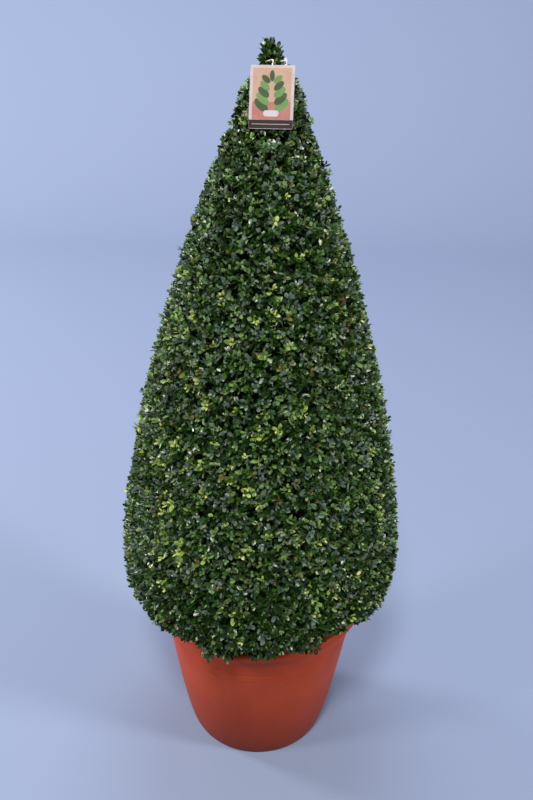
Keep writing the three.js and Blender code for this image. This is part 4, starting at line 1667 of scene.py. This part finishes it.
@dataclass
class Label:
    """The picture label: a card with a plain printed design, on a white strap."""

    width: float = 68.0 * MM
    length: float = 93.0 * MM
    thickness: float = 1.0 * MM
    corner: float = 2.0 * MM
    centre: tuple = (1.8 * MM, -43.0 * MM, 1350.0 * MM)
    lean: float = 22.0
    turn: float = -11.0
    hang: float = -3.2
    leaf_gap: float = 2.0 * MM
    # the printed design: two fields, a foot band with a rule, and a sprig of pairs in a dish
    layer: float = 0.06 * MM
    print_root: float = 0.1 * MM
    panels: tuple = (
        Panel("print_sky", 59 * MM, 50 * MM, 0.4 * MM, 17.5 * MM, 1, Ink.PEACH),
        Panel("print_ground", 59 * MM, 26 * MM, 0.4 * MM, -20.0 * MM, 2, Ink.ROSE),
        Panel("print_band", 67.6 * MM, 12.6 * MM, 0.4 * MM, -39.6 * MM, 3, Ink.MAROON),
        Panel("print_rule", 58 * MM, 0.7 * MM, 0.2 * MM, -39.6 * MM, 4, Ink.PALE),
    )
    dish: Panel = Panel("print_dish", 24 * MM, 9 * MM, 4.0 * MM, -24.0 * MM, 9, Ink.PALE)
    sprig_pairs: int = 5
    sprig_foot: tuple = (15.5 * MM, -12.0 * MM)
    sprig_step: tuple = (-1.6 * MM, 9.5 * MM)
    sprig_leaf: tuple = (13.0 * MM, 6.6 * MM)
    sprig_shrink: tuple = (1.3 * MM, 0.6 * MM)
    sprig_lean: float = 48.0
    top_leaf: tuple = (31.0 * MM, 8.0 * MM, 3.6 * MM)
    # the strap
    strap_height: float = 1393.0 * MM
    strap_side: float = 9.5 * MM
    strap_front: float = 6.0 * MM
    strap_behind: float = 5.0 * MM
    strap_ends: tuple = (-1.1 * MM, 19.7 * MM)
    strap_lap: float = 7.0 * MM
    strap_rise: float = 8.0 * MM
    strap_bow: float = 1.5 * MM
    strap_off_card: float = 0.7 * MM
    strap_half_widths: tuple = (0.65 * MM, 1.1 * MM)
    strap_half_thick: float = 0.35 * MM
    flat_zone: tuple = (1402.0 * MM, 12.0 * MM, -12.0 * MM)
    strap_steps: int = 12

    def matrix(self) -> Matrix:
        """The card's place: turned about +Z, leant back about its width, then hung askew.

        Returns:
            The matrix from the card's frame to the part's frame.
        """
        turn = Matrix.Rotation(math.radians(self.turn), 4, "Z")
        lean = Matrix.Rotation(math.radians(-self.lean), 4, "X")
        hang = Matrix.Rotation(math.radians(self.hang), 4, "Y")
        return Matrix.Translation(self.centre) @ turn @ lean @ hang

    def clear(self, points: np.ndarray) -> np.ndarray:
        """Tells which places the card leaves free.

        Args:
            points: An (n, 3) array of places.

        Returns:
            True for the points that neither pierce the card nor lie in front of it.
        """
        matrix = np.array(self.matrix())
        own = (points - matrix[:3, 3]) @ matrix[:3, :3]
        beside = np.abs(own[:, 0]) > self.width / 2.0 + self.leaf_gap
        beyond = np.abs(own[:, 2]) > self.length / 2.0 + self.leaf_gap
        return beside | beyond | (own[:, 1] > self.thickness / 2.0 + 1.0 * MM)

    def placed(self, points: np.ndarray) -> np.ndarray:
        """Points of the card's frame (across, behind, up) in the part's frame."""
        matrix = np.array(self.matrix())
        return points @ matrix[:3, :3].T + matrix[:3, 3]

    def sheet(
        self, name: str, outline: np.ndarray, front: float, back: float, ink: bpy.types.Material
    ) -> bpy.types.Object:
        """A flat closed shape that lies along the card.

        Args:
            name: The piece's name.
            outline: An (n, 2) array of points on the card, anticlockwise.
            front: How far its face is in front of the card's middle.
            back: How far its back is.
            ink: Its material.

        Returns:
            The piece.
        """
        count = len(outline)
        near = np.stack([outline[:, 0], np.full(count, -front), outline[:, 1]], axis=-1)
        far = near + np.array([0.0, front - back, 0.0])
        middle = outline.mean(axis=0)
        ends = np.array([[middle[0], -front, middle[1]], [middle[0], -back, middle[1]]])
        points = self.placed(np.concatenate([near, far, ends]))
        edge = grid_faces(2, count, True)[:, [0, 3, 2, 1]]
        face = fan_faces(2 * count, 0, count)
        back_face = fan_faces(2 * count + 1, count, count)[:, [0, 2, 1]]
        return make_piece(name, points, [edge, face, back_face], ink, smooth=False)

    def build(self) -> list[bpy.types.Object]:
        """Builds the card, its printed shapes and the strap.

        Each printed shape stands a few hundredths of a millimetre proud of the one under it.

        Returns:
            The pieces, the strap last.
        """
        inks = {ink: ink.value.make() for ink in Ink}
        face = self.thickness / 2.0
        edge = rounded(self.width, self.length, self.corner)
        pieces = [self.sheet("label_card_face", edge, face, -face, inks[Ink.WHITE])]
        prints = [(panel.name, panel.outline(), panel.layer, panel.ink) for panel in self.panels]
        prints += self.sprig()
        prints.append((self.dish.name, self.dish.outline(), self.dish.layer, self.dish.ink))
        for name, outline, layer, ink in prints:
            front = face + layer * self.layer
            pieces.append(self.sheet(name, outline, front, face - self.print_root, inks[ink]))
        return [*pieces, self.strap(inks[Ink.STRAP])]

    def sprig(self) -> list[tuple[str, np.ndarray, int, Ink]]:
        """The printed sprig: pairs of leaves that lean out and shrink, under an upright one.

        Returns:
            For each leaf its name, outline, layer and ink.
        """
        leaves = []
        first = self.panels[-1].layer
        for row in range(self.sprig_pairs):
            across, up = np.array(self.sprig_foot) + row * np.array(self.sprig_step)
            long_half, short_half = np.array(self.sprig_leaf) - row * np.array(self.sprig_shrink)
            for side, word in ((-1, "left"), (1, "right")):
                light = (row + (side > 0)) % 2
                ink = Ink.LIGHT_GREEN if light else Ink.DARK_GREEN
                outline = oval((side * across, up), long_half, short_half, -side * self.sprig_lean)
                leaves.append((f"print_leaf_{row}_{word}", outline, first + row, ink))
        up, long_half, short_half = self.top_leaf
        outline = oval((0.0, up), long_half, short_half, 0.0)
        return [*leaves, ("print_top_leaf", outline, self.dish.layer, Ink.DARK_GREEN)]

    def strap(self, plastic: bpy.types.Material) -> bpy.types.Object:
        """The strap: a flat band carried along a smooth line from the card round the leader.

        It lies flat on the card's back and turns to stand square to its own line above it.

        Args:
            plastic: Its material.

        Returns:
            The piece.
        """
        line = self.strap_line()
        run = unit(np.gradient(line, axis=0))
        wide = unit(np.cross(run, unit(np.cross(UP, run) + 1e-6)))
        card_wide = np.array(self.matrix())[:3, 0]
        top, depth, front = self.flat_zone
        near_card = np.clip((top - line[:, 2:3]) / depth, 0.0, 1.0) * (line[:, 1:2] < front)
        wide = square_to(unit(wide * (1.0 - near_card) + card_wide * near_card), run)
        thin = np.cross(run, wide)
        narrow, broad = self.strap_half_widths
        half_wide = (narrow + (broad - narrow) * near_card)[:, None]
        corners = np.array([(1, 1), (-1, 1), (-1, -1), (1, -1)])
        points = (
            line[:, None]
            + wide[:, None] * (corners[:, :1] * half_wide)
            + thin[:, None] * (corners[:, 1:] * self.strap_half_thick)
        )
        count = len(line)
        last = (count - 1) * 4
        caps = np.array([[3, 2, 1, 0], [last, last + 1, last + 2, last + 3]])
        faces = [grid_faces(count, 4, True), caps]
        return make_piece("label_strap_band", points.reshape(-1, 3), faces, plastic, smooth=False)

    def strap_line(self) -> np.ndarray:
        """The strap's middle line: up behind the card, round the leader and down again.

        Returns:
            An (n, 3) array of points.
        """
        behind = self.thickness / 2.0 + self.strap_off_card
        edge = self.length / 2.0
        bowed = behind + self.strap_bow
        rise = [(behind, edge - self.strap_lap), (behind, edge), (bowed, edge + self.strap_rise)]
        left, right = self.strap_ends
        up = self.placed(np.array([(left, *place) for place in rise]))
        down = self.placed(np.array([(right, *place) for place in rise[::-1]]))
        side, front, height = self.strap_side, -self.strap_front, self.strap_height
        around = [(-side, front, height), (0.0, self.strap_behind, height), (side, front, height)]
        return smooth_line(np.concatenate([up, np.array(around), down]), self.strap_steps)


# ------------------------------------------------------------------ studio


@dataclass(frozen=True)
class SoftLight:
    """A square soft light that points at a target; metres and watts."""

    name: str
    place: tuple
    target: tuple
    size: float
    power: float
    colour: str

    def hang(self) -> None:
        """Adds the light to the scene."""
        data = bpy.data.lights.new(self.name, "AREA")
        data.size = self.size
        data.energy = self.power
        data.color = linear(self.colour)[:3]
        lamp = bpy.data.objects.new(self.name, data)
        direction = Vector(self.place) - Vector(self.target)
        lamp.rotation_euler = direction.to_track_quat("Z", "Y").to_euler()
        lamp.location = self.place
        bpy.context.scene.collection.objects.link(lamp)


@dataclass
class Studio:
    """Pale floor and backdrop in one sweep, soft lights and the camera."""

    camera_place: tuple = (0.005, -1.567, 1.737)
    camera_pitch: float = 31.1
    camera_roll: float = 1.37
    lens: float = 45.0
    sensor: float = 36.0
    sweep_front: float = -6.0
    sweep_start: float = 2.6
    sweep_radius: float = 1.2
    sweep_height: float = 5.0
    half_width: float = 6.0
    room_light: float = 0.03
    room_colour: str = "#ecedf0"
    lights: tuple = (
        SoftLight("key_softbox", (-4.9, -1.9, 2.3), (0.0, 0.0, 0.4), 1.1, 152.0, "#fff5ea"),
        SoftLight("fill_softbox", (5.0, -1.9, 2.8), (0.0, 0.0, 0.5), 1.1, 232.0, "#fff8f0"),
        SoftLight("edge_softbox", (-4.3, 1.6, 1.4), (0.0, 0.0, 0.4), 0.9, 195.0, "#fff8f0"),
        SoftLight("top_softbox", (-0.4, -3.2, 5.4), (0.0, 0.0, 0.6), 0.9, 228.0, "#fffbf4"),
        SoftLight("backdrop_softbox", (0.0, 1.4, 4.8), (0.0, 3.9, 0.6), 2.0, 122.0, "#ffffff"),
    )

    def build(self) -> None:
        """Builds the sweep, the lights, the world and the camera."""
        self.sweep()
        for light in self.lights:
            light.hang()
        world = bpy.data.worlds.new("studio_world")
        bpy.context.scene.world = world
        world.use_nodes = True
        background = world.node_tree.nodes["Background"]
        background.inputs["Color"].default_value = linear(self.room_colour)
        background.inputs["Strength"].default_value = self.room_light
        bpy.context.scene.view_settings.view_transform = "Standard"
        self.camera()

    def sweep(self) -> None:
        """The floor that turns up into the wall by a quarter circle."""
        turn = np.linspace(0.0, QUARTER_TURN, 24)
        bend_y = self.sweep_start + self.sweep_radius * np.sin(turn)
        bend_z = self.sweep_radius * (1.0 - np.cos(turn))
        y = np.concatenate([[self.sweep_front], bend_y, bend_y[-1:]])
        z = np.concatenate([[0.0], bend_z, [self.sweep_height]])
        x = np.tile([-self.half_width, self.half_width], len(y))
        points = np.stack([x, np.repeat(y, 2), np.repeat(z, 2)], axis=-1)
        faces = grid_faces(len(y), 2, False)
        make_piece("studio_sweep", points, faces, Backdrop().make())

    def camera(self) -> None:
        """The camera, at a standing person's eye height, tilted down at the plant."""
        data = bpy.data.cameras.new("camera")
        data.lens = self.lens
        data.sensor_width = self.sensor
        camera = bpy.data.objects.new("camera", data)
        tilt = Matrix.Rotation(math.radians(90.0 - self.camera_pitch), 4, "X")
        roll = Matrix.Rotation(math.radians(self.camera_roll), 4, "Z")
        camera.matrix_world = Matrix.Translation(self.camera_place) @ tilt @ roll
        bpy.context.scene.collection.objects.link(camera)
        bpy.context.scene.camera = camera


# ------------------------------------------------------------------ the whole plant


def settle(pieces: list[bpy.types.Object], slot: str, *nodes: str) -> None:
    """Makes pieces ride with the plant and reports them.

    Args:
        pieces: The pieces.
        slot: Not used.
        *nodes: The nodes that they stand for.
    """
    for piece in pieces:
        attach(piece, "root")
        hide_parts(*nodes)
        LOG.info("%s: %d faces", piece.name, len(piece.data.polygons))


def main() -> None:
    """Builds every piece in order, logging the faces of each."""
    logging.basicConfig(level=logging.INFO, format="%(message)s")
    Studio().build()
    settle([Pot().build()], "pot_plastic", "pot")
    settle([CompostBed().build()], "compost", "soil")
    settle([Trunk().build()], "bark", "stem")
    stock = LeafStock(LeafShape())
    label = Label()
    settle(Crown(label).grow(stock), "bark", "crown")
    settle(Tuft(label).grow(stock), "bark", "crown_tip")
    settle(stock.pieces(), "foliage", "crown", "crown_tip")
    *card, strap = label.build()
    settle(card, "label_card", "label_card")
    settle([strap], "label_strap", "label_strap")


if __name__ == "__main__":
    main()
